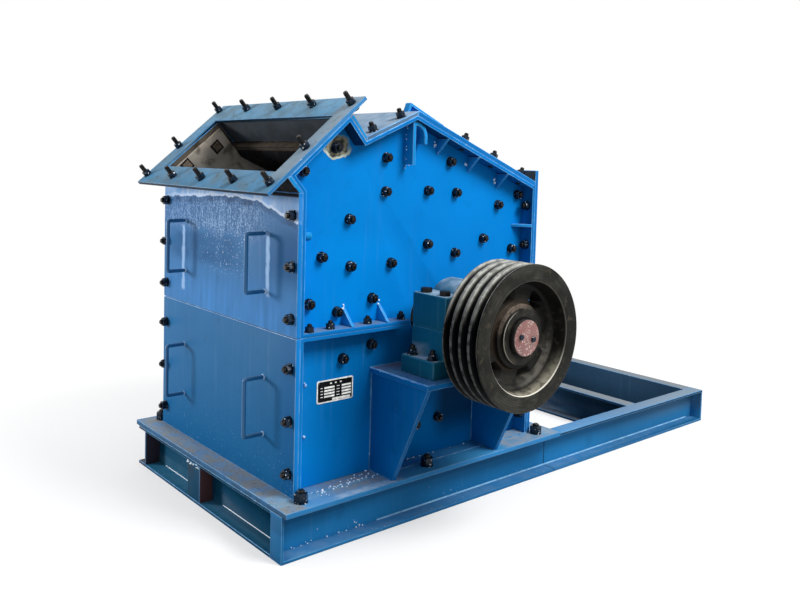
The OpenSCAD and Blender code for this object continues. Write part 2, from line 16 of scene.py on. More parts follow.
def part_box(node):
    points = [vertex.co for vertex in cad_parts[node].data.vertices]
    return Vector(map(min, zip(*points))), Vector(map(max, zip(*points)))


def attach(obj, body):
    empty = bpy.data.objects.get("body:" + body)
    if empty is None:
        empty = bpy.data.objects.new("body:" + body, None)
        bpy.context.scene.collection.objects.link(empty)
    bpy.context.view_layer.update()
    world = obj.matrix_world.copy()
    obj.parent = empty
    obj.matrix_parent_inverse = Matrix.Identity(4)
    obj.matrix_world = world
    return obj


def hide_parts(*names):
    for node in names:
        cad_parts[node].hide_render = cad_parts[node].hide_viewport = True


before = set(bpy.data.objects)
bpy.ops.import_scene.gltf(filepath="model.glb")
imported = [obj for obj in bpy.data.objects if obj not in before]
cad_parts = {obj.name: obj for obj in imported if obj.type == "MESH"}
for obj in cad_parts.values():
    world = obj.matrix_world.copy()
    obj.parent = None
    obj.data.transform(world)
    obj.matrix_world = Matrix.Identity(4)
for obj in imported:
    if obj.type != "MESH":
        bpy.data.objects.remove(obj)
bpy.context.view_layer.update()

bl_info = {
    "name": "Hammer crusher",
    "version": (1, 0, 0),
    "blender": (4, 5, 0),
    "location": "3D View > Sidebar > Crusher",
    "description": "Dresses the crusher's frame with plates, bolts, welds and finishes",
    "category": "Object",
}

MM = 0.001
FIXED, TURNING = "frame", "rotor"


def in_mm(point):
    """A point of the frame in millimetres from the base's corner."""
    return (Vector(point) - CORNER) / MM


def at(x, y, z):
    """The point of the frame that lies x, y, z millimetres from the base's corner."""
    return Vector((x, y, z)) * MM + CORNER


def low(node):
    """The lowest corner of a CAD node, in millimetres from the base's corner."""
    return in_mm(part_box(node)[0])


def high(node):
    """The highest corner of a CAD node, in millimetres from the base's corner."""
    return in_mm(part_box(node)[1])


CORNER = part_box("rail_near")[0]
BASE_WIDTH = high("rail_far").y
FOOT_TOP = high("foot_plate").z
WALL_FACE = high("data_plate").y
WALL_START, WALL_END = low("lower_wall_near").x, high("lower_wall_near").x
FLANGE_EDGE = low("lower_wall_near").y
SEAM = high("lower_wall_near").z
DOOR_FACE = low("door_lower").x
REAR_FACE = high("rear_plate_upper").x
WALL_T = 16
LINER_T = 14
FLANGE_T = 12
FLANGE_BOLT_Y = 0.5 * (FLANGE_EDGE + WALL_FACE)
INLET_EDGE = low("inlet_flange")
INLET_TILT = math.radians(40.8)
INLET_UP = Vector((math.cos(INLET_TILT), 0, math.sin(INLET_TILT)))
INLET_OUT = Vector((-math.sin(INLET_TILT), 0, math.cos(INLET_TILT)))
VALLEY_SLOPE = math.radians(23.4)
ROOF_SLOPE = math.radians(21.2)
VALLEY_OUT = Vector((-math.sin(VALLEY_SLOPE), 0, math.cos(VALLEY_SLOPE)))
ROOF_OUT = Vector((math.sin(ROOF_SLOPE), 0, math.cos(ROOF_SLOPE)))
ROOF_PEAK = Vector((516.1, 0, 1303.2))
PEDESTAL_TOP = high("pedestal_near").z
PEDESTAL_X = (low("pedestal_near").x, high("pedestal_near").x)
BEARING_Y = 0.5 * (low("bearing_cap_near").y + high("bearing_cap_near").y)
BEARING_TOP = 736
BEARING_FOOT_TOP = PEDESTAL_TOP + 55
AXIS = Vector((
    0.5 * (low("pulley").x + high("pulley").x),
    0,
    0.5 * (low("pulley").z + high("pulley").z),
))
PULLEY_FACE = low("pulley").y
GROOVES = 4
GROOVE_PITCH = 35.5
GROOVE_DEPTH = 25
GROOVE_TOP, GROOVE_FLOOR = 26.5, 8.8
WEB_FRONT, WEB_BACK = 56, 90
RIM_INSIDE, HUB, BORE = 160, 98, 45.1
NUT_SEED, HEAD_SEED, SPATTER_SEED = 3, 5, 8


# ---- sizes and colours that a user would change ----

def srgb(code):
    """An sRGB hex colour as linear red, green, blue and alpha."""
    channels = [int(code[i:i + 2], 16) / 255 for i in (0, 2, 4)]
    return tuple(
        c / 12.92 if c <= 0.04045 else ((c + 0.055) / 1.055) ** 2.4
        for c in channels
    ) + (1.0,)


def size(name, description, millimetres):
    """A length property with its default in millimetres."""
    return FloatProperty(
        name=name, description=description, default=millimetres * MM,
        min=0.0, unit="LENGTH",
    )


def colour(name, description, code):
    """A colour property with its default as an sRGB hex colour."""
    return FloatVectorProperty(
        name=name, description=description, default=srgb(code),
        size=4, min=0.0, max=1.0, subtype="COLOR",
    )


def share(name, description, default):
    """A property from 0 to 1."""
    return FloatProperty(
        name=name, description=description, default=default,
        min=0.0, max=1.0, subtype="FACTOR",
    )


class CrusherColours(bpy.types.PropertyGroup):
    """Colours of the finishes."""

    wall: colour("Housing", "Enamel on the housing's side walls", "0084DA")
    # The lower walls' enamel is darker than the upper walls', partly as painted shade.
    lower_wall: colour("Lower housing", "Enamel on the lower side walls", "006CB2")
    door: colour("Doors", "Hazed enamel on the doors", "3A72A6")
    base: colour("Base frame", "Enamel on the channels", "2480BC")
    pedestal: colour("Pedestals", "Enamel on the bearing pedestals", "0068AC")
    bearing: colour("Bearings", "Enamel on the bearing housings", "085670")
    dust: colour("Dust", "Settled stone and workshop dust", "9FB2C4")
    haze: colour("Haze", "Dried wash and spray haze", "9DB6D6")
    iron: colour("Pulley iron", "Cast iron with an oil film", "33332F")
    # The blue in this black is a painted reflection of the blue walls.
    black: colour("Black steel", "Blackened steel of nuts and bolts", "0A1D2E")
    # The liners' colour is painted paler to lift the shade inside the housing.
    liner: colour("Liners", "Bare wear plate with brown dust", "ABA193")
    red: colour("Red primer", "Primer on the cap of the shaft's end", "835F5A")


class CrusherEdges(bpy.types.PropertyGroup):
    """Sizes of worn edges."""

    plate: size("Plate edge", "Width of the worn edge on plates", 1.7)
    cast: size("Cast edge", "Width of the rounded edge on castings", 6)


class CrusherBolts(bpy.types.PropertyGroup):
    """Sizes of the fasteners."""

    width: size("Nut width", "Width of the nuts across flats", 27)
    height: size("Nut height", "Height of the nuts", 16)
    washer: size("Washer", "Diameter of the washers", 34)
    washer_t: size("Washer thickness", "Thickness of the washers", 3)
    thread: size("Thread", "Diameter of the threads", 18)
    pitch: size("Thread pitch", "Distance between turns, drawn coarse", 3.5)


class CrusherWelds(bpy.types.PropertyGroup):
    """Sizes of the weld beads."""

    bead: size("Bead", "Width of the weld beads", 8)
    ripple: size("Ripple", "Distance between the ripples of a bead", 6)
    seed: IntProperty(name="Seed", description="Seed of the ripples", default=4)


class CrusherHandles(bpy.types.PropertyGroup):
    """Sizes of the door handles."""

    bar: size("Bar", "Diameter of the handle bar", 12.5)
    bend: size("Bend", "Radius of the bends", 7)


class CrusherPulley(bpy.types.PropertyGroup):
    """Sizes of the pulley's windows."""

    inner: size("Window inside", "Radius of the windows' inner edge", 107)
    outer: size("Window outside", "Radius of the windows' outer edge", 151)
    corner: size("Window corner", "Radius of the windows' corners", 13)
    angle: FloatProperty(
        name="Window angle", description="Angle that each window covers",
        default=math.radians(28), unit="ROTATION",
    )
    phase: FloatProperty(
        name="First window", description="Angle of the first window below the level",
        default=math.radians(12), unit="ROTATION",
    )
    count: IntProperty(name="Windows", description="Number of windows", default=6)


class CrusherStage(bpy.types.PropertyGroup):
    """Camera and lamps."""

    eye: FloatVectorProperty(
        name="Camera", description="Where the camera stands",
        default=(-1.8457, -2.4042, 1.1444), subtype="TRANSLATION", unit="LENGTH",
    )
    yaw: FloatProperty(
        name="Yaw", description="Turn of the camera from the Y axis towards X",
        default=math.radians(40.307), unit="ROTATION",
    )
    pitch: FloatProperty(
        name="Pitch", description="Tilt of the camera downwards",
        default=math.radians(3.426), unit="ROTATION",
    )
    roll: FloatProperty(
        name="Roll", description="Turn of the camera round its own line of sight",
        default=math.radians(1.514), unit="ROTATION",
    )
    lens: FloatProperty(
        name="Lens", description="Focal length on a 36 mm wide sensor",
        default=37.05, unit="CAMERA",
    )
    rise: FloatProperty(
        name="Shift", description="Vertical shift of the lens", default=-0.1125,
    )
    key: FloatProperty(
        name="Key lamp", description="Power of the softbox before the side wall",
        default=365.0, unit="POWER",
    )
    side: FloatProperty(
        name="Side lamp", description="Power of the softbox beside the doors",
        default=165.0, unit="POWER",
    )
    fill: share("Fill", "Brightness of the studio overhead", 0.85)
    horizon: share("Horizon", "Brightness of the studio at floor level", 0.36)


# ---- nodes and materials ----

NOISE = "ShaderNodeTexNoise"
RANGE = "ShaderNodeMapRange"
MATH = "ShaderNodeMath"
VECTOR = "ShaderNodeVectorMath"
MIX = "ShaderNodeMix"
SPLIT = "ShaderNodeSeparateXYZ"


def node(tree, kind, inputs=None, out=0, **settings):
    """Adds a node with its settings, and with its inputs set or linked, several to one
    where they are a list. Gives one output, or the node itself where out is None."""
    added = tree.nodes.new(kind)
    for key, value in settings.items():
        setattr(added, key, value)
    for key, value in (inputs or {}).items():
        if isinstance(value, bpy.types.NodeSocket):
            value = [value]
        if isinstance(value, list):
            for source in value:
                tree.links.new(source, added.inputs[key])
        else:
            added.inputs[key].default_value = value
    return added if out is None else added.outputs[out]


def tint(value):
    """A value as it is, or the colour that an sRGB hex code or one of the names among
    the crusher's colours stands for."""
    if not isinstance(value, str):
        return value
    colours = bpy.context.scene.crusher_colours
    return tuple(getattr(colours, value)) if hasattr(colours, value) else srgb(value)


def coats(tree, ground, layers, kind="RGBA"):
    """A ground colour or value under layers of (colour or value, share, share...), the
    last on top. A layer covers by the product of its shares."""
    under, over, out = (6, 7, 2) if kind == "RGBA" else (2, 3, 0)
    for coat, *shares in layers:
        ground = node(tree, MIX, {
            0: product(tree, *shares), under: tint(ground), over: tint(coat),
        }, out, data_type=kind)
    return ground


def cloud(tree, where, lump, start, end, least=0.0, most=1.0, detail=3.0):
    """Noise with lumps of that many millimetres, spread between least and most."""
    noise = node(tree, NOISE, {"Vector": where, "Scale": 1 / lump, "Detail": detail})
    return node(
        tree, RANGE, {0: noise, 1: start, 2: end, 3: least, 4: most},
        interpolation_type="SMOOTHSTEP",
    )


def product(tree, *values):
    """The product of shares."""
    result = values[0]
    for value in values[1:]:
        result = node(tree, MATH, {0: result, 1: value}, operation="MULTIPLY")
    return result


def band(tree, value, start, full):
    """A share that is 0 at start and 1 at full, with soft ends."""
    return node(
        tree, RANGE, {0: value, 1: start, 2: full}, interpolation_type="SMOOTHSTEP",
    )


def near(tree, value, middle, half, soft):
    """A share that is 1 within half of middle and fades over soft."""
    away = node(tree, MATH, {0: value, 1: middle}, operation="SUBTRACT")
    away = node(tree, MATH, {0: away}, operation="ABSOLUTE")
    return band(tree, away, half + soft, half)


def blank(name):
    """A new material: itself, its tree, its shader, and Object coordinates in
    millimetres from the base's corner."""
    material = bpy.data.materials.new(name)
    material.use_nodes = True
    tree = material.node_tree
    shader = tree.nodes["Principled BSDF"]
    place = node(tree, "ShaderNodeTexCoord", out="Object")
    mm = node(tree, "ShaderNodeMapping", {
        "Vector": place, "Location": -CORNER / MM, "Scale": (1 / MM,) * 3,
    })
    return material, tree, shader, mm


def facing_up(tree, steep=0.55, level=0.95):
    """The share of a face that looks up."""
    normal = node(tree, "ShaderNodeNewGeometry", out="Normal")
    return band(tree, node(tree, SPLIT, {0: normal}, 2), steep, level)


def looking(tree, way):
    """The share of faces that look the given way."""
    normal = node(tree, "ShaderNodeNewGeometry", out="Normal")
    turned = node(tree, VECTOR, {0: normal, 1: way}, "Value", operation="DOT_PRODUCT")
    return band(tree, turned, 0.5, 0.8)


def relief(tree, shader, layers):
    """Bumps on the shader's normal from (height, distance in millimetres)."""
    normal = None
    for height, distance in layers:
        inputs = {"Strength": 1.0, "Distance": distance * MM, "Height": height}
        if normal:
            inputs["Normal"] = normal
        normal = node(tree, "ShaderNodeBump", inputs)
    tree.links.new(normal, shader.inputs["Normal"])


def enamel(name, paint, dust=0.5, mottle=0.07, streaks=0.12, specks=0.4,
           roughness=0.5, gloss=0.08, extra=None):
    """Sprayed enamel on mild steel plate: a satin skin with fine orange peel, uneven
    in depth over a hand's width, with runs, a few pale specks and dust on what faces up."""
    material, tree, shader, mm = blank(name)
    paint = tint(paint)[:3]
    depth = cloud(tree, mm, 260, 0.3, 0.7, 1 - mottle, 1 + mottle)
    ground = node(tree, VECTOR, {0: paint, "Scale": depth}, operation="SCALE")
    runs = node(tree, "ShaderNodeMapping", {"Vector": mm, "Scale": (1, 1, 0.05)})
    runs = cloud(tree, runs, 16, 0.55, 0.8, 0, streaks)
    patchy = cloud(tree, mm, 150, 0.5, 0.62)
    speck = product(tree, cloud(tree, mm, 5, 0.70, 0.74), patchy, specks)
    settled = product(
        tree, facing_up(tree), cloud(tree, mm, 46, 0.3, 0.62, 0.35, 1), dust)
    smudge = cloud(tree, mm, 70, 0.58, 0.8, 0, 0.3)
    dark = tuple(0.45 * part for part in paint) + (1.0,)
    layers = [(dark, smudge), ("haze", runs), ("dust", speck), ("dust", settled)]
    if extra:
        layers += extra(tree, mm)
    tree.links.new(coats(tree, ground, layers), shader.inputs["Base Color"])
    worn = coats(
        tree, roughness, [(roughness + 0.12, smudge), (0.85, settled)], kind="FLOAT",
    )
    tree.links.new(worn, shader.inputs["Roughness"])
    shader.inputs["Specular IOR Level"].default_value = gloss
    relief(tree, shader, [
        (cloud(tree, mm, 130, 0, 1, detail=1), 1.2),
        (cloud(tree, mm, 4, 0, 1, detail=2), 0.12),
    ])
    return material


def worn_edge_with_highlight(name, paint, pale="9CCBF4", amount=0.5, extra=None):
    """Enamel on a sheared plate edge: thin and rubbed, with a painted highlight, so it
    shows as a pale line.
    """
    material, tree, shader, mm = blank(name)
    # The pale line and its near-white flecks are partly wear and partly a painted
    # highlight.
    layers = [
        (pale, amount * 0.5),
        (pale, cloud(tree, mm, 34, 0.42, 0.62, 0, amount)),
        ("DCE8F2", cloud(tree, mm, 11, 0.66, 0.74, 0, 0.5)),
    ]
    if extra:
        layers += extra(tree, mm)
    tree.links.new(coats(tree, paint, layers), shader.inputs["Base Color"])
    tree.links.new(
        cloud(tree, mm, 20, 0.3, 0.7, 0.3, 0.5), shader.inputs["Roughness"],
    )
    shader.inputs["Specular IOR Level"].default_value = 0.25
    relief(tree, shader, [(cloud(tree, mm, 5, 0, 1), 0.25)])
    return material


def metal(name, paint, metallic=0.0, roughness=0.4, stain="4C443B", stain_share=0.5,
          lump=30, grain=3, bump=0.15, pale=None, gloss=None, extra=None):
    """Bare or blackened metal: patchy roughness, a stain in its hollows and a fine
    grain."""
    material, tree, shader, mm = blank(name)
    depth = cloud(tree, mm, lump, 0.3, 0.7, 0.8, 1.2)
    ground = node(tree, VECTOR, {0: tint(paint)[:3], "Scale": depth}, operation="SCALE")
    layers = [(stain, cloud(tree, mm, lump * 0.7, 0.5, 0.68, 0, stain_share))]
    if pale:
        layers.append((pale, cloud(tree, mm, 3, 0.62, 0.72, 0, 0.7)))
    if extra:
        layers += extra(tree, mm)
    tree.links.new(coats(tree, ground, layers), shader.inputs["Base Color"])
    shader.inputs["Metallic"].default_value = metallic
    if gloss is not None:
        shader.inputs["Specular IOR Level"].default_value = gloss
    tree.links.new(
        cloud(tree, mm, lump * 0.5, 0.3, 0.7, roughness - 0.08, roughness + 0.14),
        shader.inputs["Roughness"],
    )
    relief(tree, shader, [(cloud(tree, mm, grain, 0, 1), bump)])
    return material


# Finishes that need more than one of the functions above

def inside_share(tree, mm):
    """The share of the housing that lies between the inner faces of its side walls."""
    y = node(tree, SPLIT, {0: mm}, 1)
    inner = WALL_FACE + WALL_T
    return product(
        tree, band(tree, y, inner - 3, inner - 1),
        band(tree, y, BASE_WIDTH - inner + 3, BASE_WIDTH - inner + 1),
    )


def seam_and_lip_shade(tree, mm):
    """Edges of the two flanges between the housing's halves, darkened as painted shade,
    and painted shade on the edge of the inlet's lip."""
    x, _, z = node(tree, SPLIT, {0: mm}, None).outputs
    lip = product(tree, band(tree, x, 71, 69.5), near(tree, z, 1053, 6, 2))
    return [("0E62A4", near(tree, z, SEAM, 15, 3), band(tree, x, 80, 110), 0.85),
            ("14161D", lip)]


def shaded_lip(tree, mm):
    """The sheared end of the inlet's flange, with painted shade where it looks down."""
    return [("0C1C2C", looking(tree, -INLET_UP), 0.92)]


def sprayed_side(tree, mm):
    """The doors' ends beside the wall's flange, caught by the wall's azure enamel."""
    return [("1480CE", looking(tree, (0, -1, 0)), 0.9)]


def low_dark_edge(tree, mm):
    """The lower flange's edge, darker towards the ground."""
    x, _, z = node(tree, SPLIT, {0: mm}, None).outputs
    return [("125E98", band(tree, z, 14, 11), near(tree, x, 1150, 700, 200), 0.7)]


def bare_inside(tree, mm):
    """Plate that the rock has rubbed bare and browned on the inside."""
    return [("5C554C", inside_share(tree, mm)),
            ("3A342E", inside_share(tree, mm), cloud(tree, mm, 50, 0.45, 0.7))]


def rubbed_head(tree, mm):
    """The breaker plate's head, rubbed brown by the feed."""
    head = band(tree, node(tree, SPLIT, {0: mm}, 2), 1166, 1170)
    return [("4F453B", head, cloud(tree, mm, 40, 0.3, 0.6, 0.6, 0.95))]


def middle_dust(tree, mm):
    """Purple-brown dust that lies on top of the flange between the housing's halves."""
    z = node(tree, SPLIT, {0: mm}, 2)
    lying = product(tree, facing_up(tree), band(tree, z, SEAM + 6, SEAM + 10),
                       band(tree, z, SEAM + 18, SEAM + 14))
    return [("5F7890", lying, cloud(tree, mm, 30, 0.25, 0.6, 0.4, 0.9))]


def housing_enamel(name):
    """Azure enamel on the upper side walls, bare inside, with painted shade under the roof,
    towards the bottom, towards the pulley end and on the flanges, and the filler left bare
    round one bolt under the inlet and its pale rim."""
    def marks(tree, mm):
        flat = node(tree, "ShaderNodeMapping", {
            "Vector": mm, "Location": (-239, -WALL_FACE, -1182 * 1.35),
            "Scale": (1, 1, 1.35)})
        away = node(tree, VECTOR, {0: flat}, "Value", operation="LENGTH")
        ragged = cloud(tree, mm, 34, 0.2, 0.8, -8, 8)
        strokes = cloud(tree, mm, 12, 0.42, 0.6)
        away = node(tree, MATH, {0: away, 1: ragged}, operation="ADD")
        sprayed = product(tree, cloud(tree, mm, 420, 0.35, 0.65), 0.15)
        x, y, z = node(tree, SPLIT, {0: mm}, None).outputs
        return [
            # Uneven coats, thin ones bright; painted shade under the valley roof and
            # towards the bottom
            ("00A6FF", sprayed),
            ("0062AA", band(tree, z, 820, 960), band(tree, x, 820, 660), 0.3),
            ("0076C8", band(tree, z, 980, 700), 0.35),
            # Painted shade on the flanges' edges and soffits and towards the pulley end;
            # darker at the wall's far end
            ("0A66AC", band(tree, y, FLANGE_EDGE + 3, FLANGE_EDGE + 1), 0.65),
            ("021D38", facing_up(tree, -0.3, -0.7), 0.9),
            ("024A82", band(tree, x, WALL_END - 40, WALL_END - 8), 0.35),
            ("0074C2", band(tree, x, 480, 900), 0.6),
            ("0A5A94", band(tree, x, WALL_END - 16, WALL_END - 10), 0.6),
            # The bare filler round one bolt: pale rim, brushed filler, oily middle
            ("7FA4A8", band(tree, away, 54, 49), 0.6),
            ("CBD3C4", band(tree, away, 54, 49), band(tree, z, 1182, 1162)),
            (coats(tree, "50534A", [("9C9884", strokes)]), band(tree, away, 45, 37)),
            ("1C1F1D", band(tree, away, 30, 18), 0.85),
        ] + middle_dust(tree, mm) + bare_inside(tree, mm)
    return enamel(name, "wall", dust=0.15, mottle=0.07, streaks=0.03,
                  specks=0.25, gloss=0.05, extra=marks)


def lower_housing_enamel(name):
    """Azure enamel on the lower side walls, with painted light at the feed end and the
    foot, and painted shade behind the pulley and on the flange's edge.
    """
    def fading(tree, mm):
        x, y, z = node(tree, SPLIT, {0: mm}, None).outputs
        return [
            # Painted light beside the doors and at the foot, where the pedestal shades the
            # wall; painted shade behind the pulley
            ("0A95EC", band(tree, x, 260, 70), 0.55),
            ("00A0FF", band(tree, z, 400, 150), band(tree, y, 110, 100), 0.75),
            ("01203F", band(tree, x, 640, 720), band(tree, y, 130, 110),
             band(tree, z, 150, 290), 0.8),
            # Painted shade on the flange's edge, and darker at the wall's far end
            ("0A66AC", band(tree, y, FLANGE_EDGE + 3, FLANGE_EDGE + 1), 0.5),
            ("0A64A6", band(tree, x, WALL_END - 60, WALL_END - 8), 0.9),
        ] + bare_inside(tree, mm)
    return enamel(name, "lower_wall", dust=0.3, mottle=0.07, streaks=0.06, gloss=0.06,
                  extra=fading)


def door_haze(tree, mm):
    """Dried wash on the upper door: a pale band, painted paler still to lift the flange's
    shadow, with a wavy lower edge and a dark tide line, flecked drips below it, tracks
    where water ran from the handles' feet, and painted shade of a gap over the door."""
    _, y, z = node(tree, SPLIT, {0: mm}, None).outputs
    near_side = node(tree, RANGE, {0: y, 1: 50, 2: 290, 3: 958, 4: 1017})
    far_side = node(tree, RANGE, {0: y, 1: 540, 2: 930, 3: 1016, 4: 996})
    shore = node(tree, MATH, {0: near_side, 1: far_side}, operation="MINIMUM")
    wobble = cloud(tree, mm, 45, 0.2, 0.8, -6, 6)
    shore = node(tree, MATH, {0: shore, 1: wobble}, operation="ADD")
    above = node(tree, MATH, {0: z, 1: shore}, operation="SUBTRACT")
    fibres = node(tree, "ShaderNodeMapping", {"Vector": mm, "Scale": (1, 1, 0.16)})
    drips = cloud(tree, fibres, 9, 0.45, 0.64)
    grains = cloud(tree, mm, 6, 0.51, 0.59)
    blotch = cloud(tree, mm, 60, 0.35, 0.65, 0.35, 1)
    ragged = cloud(tree, mm, 60, 0.3, 0.7, 872, 902)
    reach = node(tree, MATH, {0: z, 1: ragged}, operation="SUBTRACT")
    curtain = product(tree, band(tree, reach, -8, 24), band(tree, above, 0, -10),
                      band(tree, y, 150, 360))
    falling = product(
        tree, curtain, coats(tree, drips, [(grains, 0.6)], kind="FLOAT"),
        band(tree, y, 1500, 420),
    )
    scatter = product(
        tree, cloud(tree, mm, 6, 0.64, 0.69), near(tree, y, 480, 110, 90),
        near(tree, z, 850, 50, 60),
    )
    sway = cloud(tree, mm, 50, 0.2, 0.8, -5, 5)
    bent = node(tree, MATH, {0: y, 1: sway}, operation="ADD")
    tracks = [
        product(tree, near(tree, bent, at_y, 4, 11),
                near(tree, z, (top + foot) / 2, (top - foot) / 2, 14),
                cloud(tree, mm, 22, 0.2, 0.5, 0.5, 1))
        for at_y, top, foot in ((211, 912, 735), (779, 892, 680))
    ]
    side = band(tree, y, 1150, 520)
    brushed = product(tree, cloud(tree, mm, 55, 0.35, 0.65),
                      cloud(tree, fibres, 12, 0.35, 0.65, 0.3, 1))
    low_haze = product(tree, band(tree, z, 830, 640), band(tree, y, 1250, 500),
                       cloud(tree, fibres, 26, 0.25, 0.75, 0.45, 0.95), 0.58)
    damp = product(tree, near(tree, z, 835, 28, 42), near(tree, y, 640, 180, 120),
                   cloud(tree, mm, 50, 0.25, 0.6, 0.35, 0.7))
    upper = band(tree, z, SEAM - 1, SEAM + 1)
    clean = product(tree, band(tree, y, 290, 90), band(tree, z, 975, 900),
                    band(tree, z, 730, 850))
    return [
        # Below the tide line: dull haze, a damp patch, and a side washed clean
        ("58A2F0", low_haze, upper),
        ("0E4E80", damp),
        ("035288", clean),
        # A curtain of fine pale drips with a ragged foot, under a dark tide line
        ("28588A", curtain, 0.65),
        ("A2C4EC", falling, 0.78),
        ("0B3E6A", near(tree, above, -10, 7, 9), blotch, 0.85),
        # The pale wash above the line, painted paler to lift the flange's shadow, duller at
        # the near side, with a bright rim
        (coats(tree, "92C0F4", [("CFE4FF", brushed)]), band(tree, above, -3, 2), side),
        ("5C86B4", band(tree, y, 260, 120), band(tree, above, 0, 6), 0.6),
        ("D3E4FA", near(tree, above, 3, 2.5, 4), side, 0.8),
        # Painted shade of a gap over the door, loose flecks, and the two water tracks
        ("14161D", band(tree, z, 1030, 1035)),
        ("C6DDF6", scatter, 0.9),
        ("A6CAF4", tracks[0], 0.85),
        ("A6CAF4", tracks[1], 0.75),
    ] + sprayed_side(tree, mm)


def door_enamel(name):
    """Enamel on the upper door under a dull grey-blue haze."""
    return enamel(name, "door", dust=0.4, mottle=0.05, streaks=0.1, specks=0.15,
                  roughness=0.55, extra=door_haze)


def lower_door_enamel(name):
    """Enamel on the lower door: smoother, and bluer towards the foot and the near edge."""
    def foot(tree, mm):
        _, y, z = node(tree, SPLIT, {0: mm}, None).outputs
        spots = product(tree, cloud(tree, mm, 6, 0.66, 0.7), band(tree, z, 420, 180))
        return [
            # Bluer at the foot and the near side, with a few pale spots
            ("0E6298", band(tree, z, 470, 175), 0.85),
            ("0C5A92", band(tree, y, 190, 70), 0.8),
            ("8FB6D6", spots, 0.4),
        ] + sprayed_side(tree, mm)
    return enamel(name, "216496", dust=0.4, mottle=0.05, streaks=0.06,
                  specks=0.1, roughness=0.55, extra=foot)


def base_enamel(name):
    """Enamel on rolled channel: duller along the middle, paler at the motor end, with one
    butt seam, a painted highlight along the root of the webs, painted shade under the upper
    flange and on its edge, and dust on the flanges."""
    def marks(tree, mm):
        x, y, z = node(tree, SPLIT, {0: mm}, None).outputs
        joint = product(tree, near(tree, x, 1193, 1.5, 1.5), band(tree, y, 80, 60))
        painted_root_glint = product(
            tree, near(tree, z, 12, 1.5, 1.5), near(tree, y, 55, 3, 3),
            near(tree, x, 1290, 900, 8), cloud(tree, mm, 26, 0.35, 0.6, 0.65, 1))
        splash = product(tree, cloud(tree, mm, 8, 0.66, 0.7), near(tree, z, 16, 10, 12),
                         cloud(tree, mm, 200, 0.45, 0.55))
        return [
            # Dull in the middle, paler towards the motor end, painted shade under the
            # flange
            ("0E4C78", near(tree, x, 800, 260, 260), 0.35),
            ("2A6690", band(tree, x, 1150, 1700), 0.5),
            ("557C9C", band(tree, x, 1600, 2200), band(tree, z, 30, 80), 0.6),
            ("0A3050", band(tree, x, 1100, 800), near(tree, z, 108, 16, 14), 0.35),
            ("174A72", band(tree, x, 70, 10), 0.5),
            # Dust on the upper flange, painted shade on the edge below it, and a dark foot
            ("7E8A94", band(tree, x, 1200, 2100), facing_up(tree), band(tree, z, 60, 100),
             0.7),
            ("142F48", band(tree, x, 1190, 1196), band(tree, z, 126, 127),
             looking(tree, (0, -1, 0)), 0.9),
            ("0E3B66", band(tree, z, 30, 4), 0.3),
            # The butt seam, a painted highlight along the root of the web, and splashes
            ("0B2740", joint, 0.85),
            ("A8D8F4", painted_root_glint, 0.8),
            ("C4E2F6", splash, 0.35),
        ]
    return enamel(name, "base", dust=0.25, mottle=0.1, streaks=0.05, extra=marks)


def feed_beam_enamel(name):
    """Thin teal-blue enamel on the beam at the feed end, with brown primer showing on the
    web and on the post's cheek, and a near-white line painted along the web's foot as
    daylight through slits."""
    def marks(tree, mm):
        x, y, z = node(tree, SPLIT, {0: mm}, None).outputs
        cheek = product(tree, near(tree, y, 502, 4.5, 1), band(tree, x, -1, 2),
                        band(tree, x, 49, 45))
        brown = product(tree, band(tree, z, 60, 125), cloud(tree, mm, 120, 0.42, 0.66))
        slit_y = [near(tree, y, (a + b) / 2, (b - a) / 2, 4)
                  for a, b in ((62, 435), (690, 866))]
        either = node(tree, MATH, {0: slit_y[0], 1: slit_y[1]}, operation="MAXIMUM")
        painted_slit_light = product(tree, either, near(tree, z, 12.3, 1.2, 0.8), near(tree, x, 53, 5, 2))
        return [
            # Brown primer on the web, teal on the flanges, the post's cheek, painted
            # daylight
            ("222023", brown, 0.6),
            ("0F5878", facing_up(tree), 0.75),
            ("5A4042", cheek),
            ("EAF6FF", painted_slit_light),
        ]
    return enamel(name, "09425F", dust=0.2, mottle=0.12, streaks=0.02,
                  gloss=0.05, extra=marks)


def far_rail_enamel(name):
    """Enamel on the far channel, painted dark as shade: grey with dust, with bare brown
    primer at the feed end.
    """
    def marks(tree, mm):
        x = node(tree, SPLIT, {0: mm}, 0)
        return [
            # Brown primer at the feed end, grey dust on top towards the motor end
            ("3B2E36", band(tree, x, 120, 60), 0.8),
            ("757D84", band(tree, x, 1150, 1400), facing_up(tree), 0.85),
        ]
    return enamel(name, "20405A", dust=0.3, mottle=0.1, streaks=0.05, extra=marks)


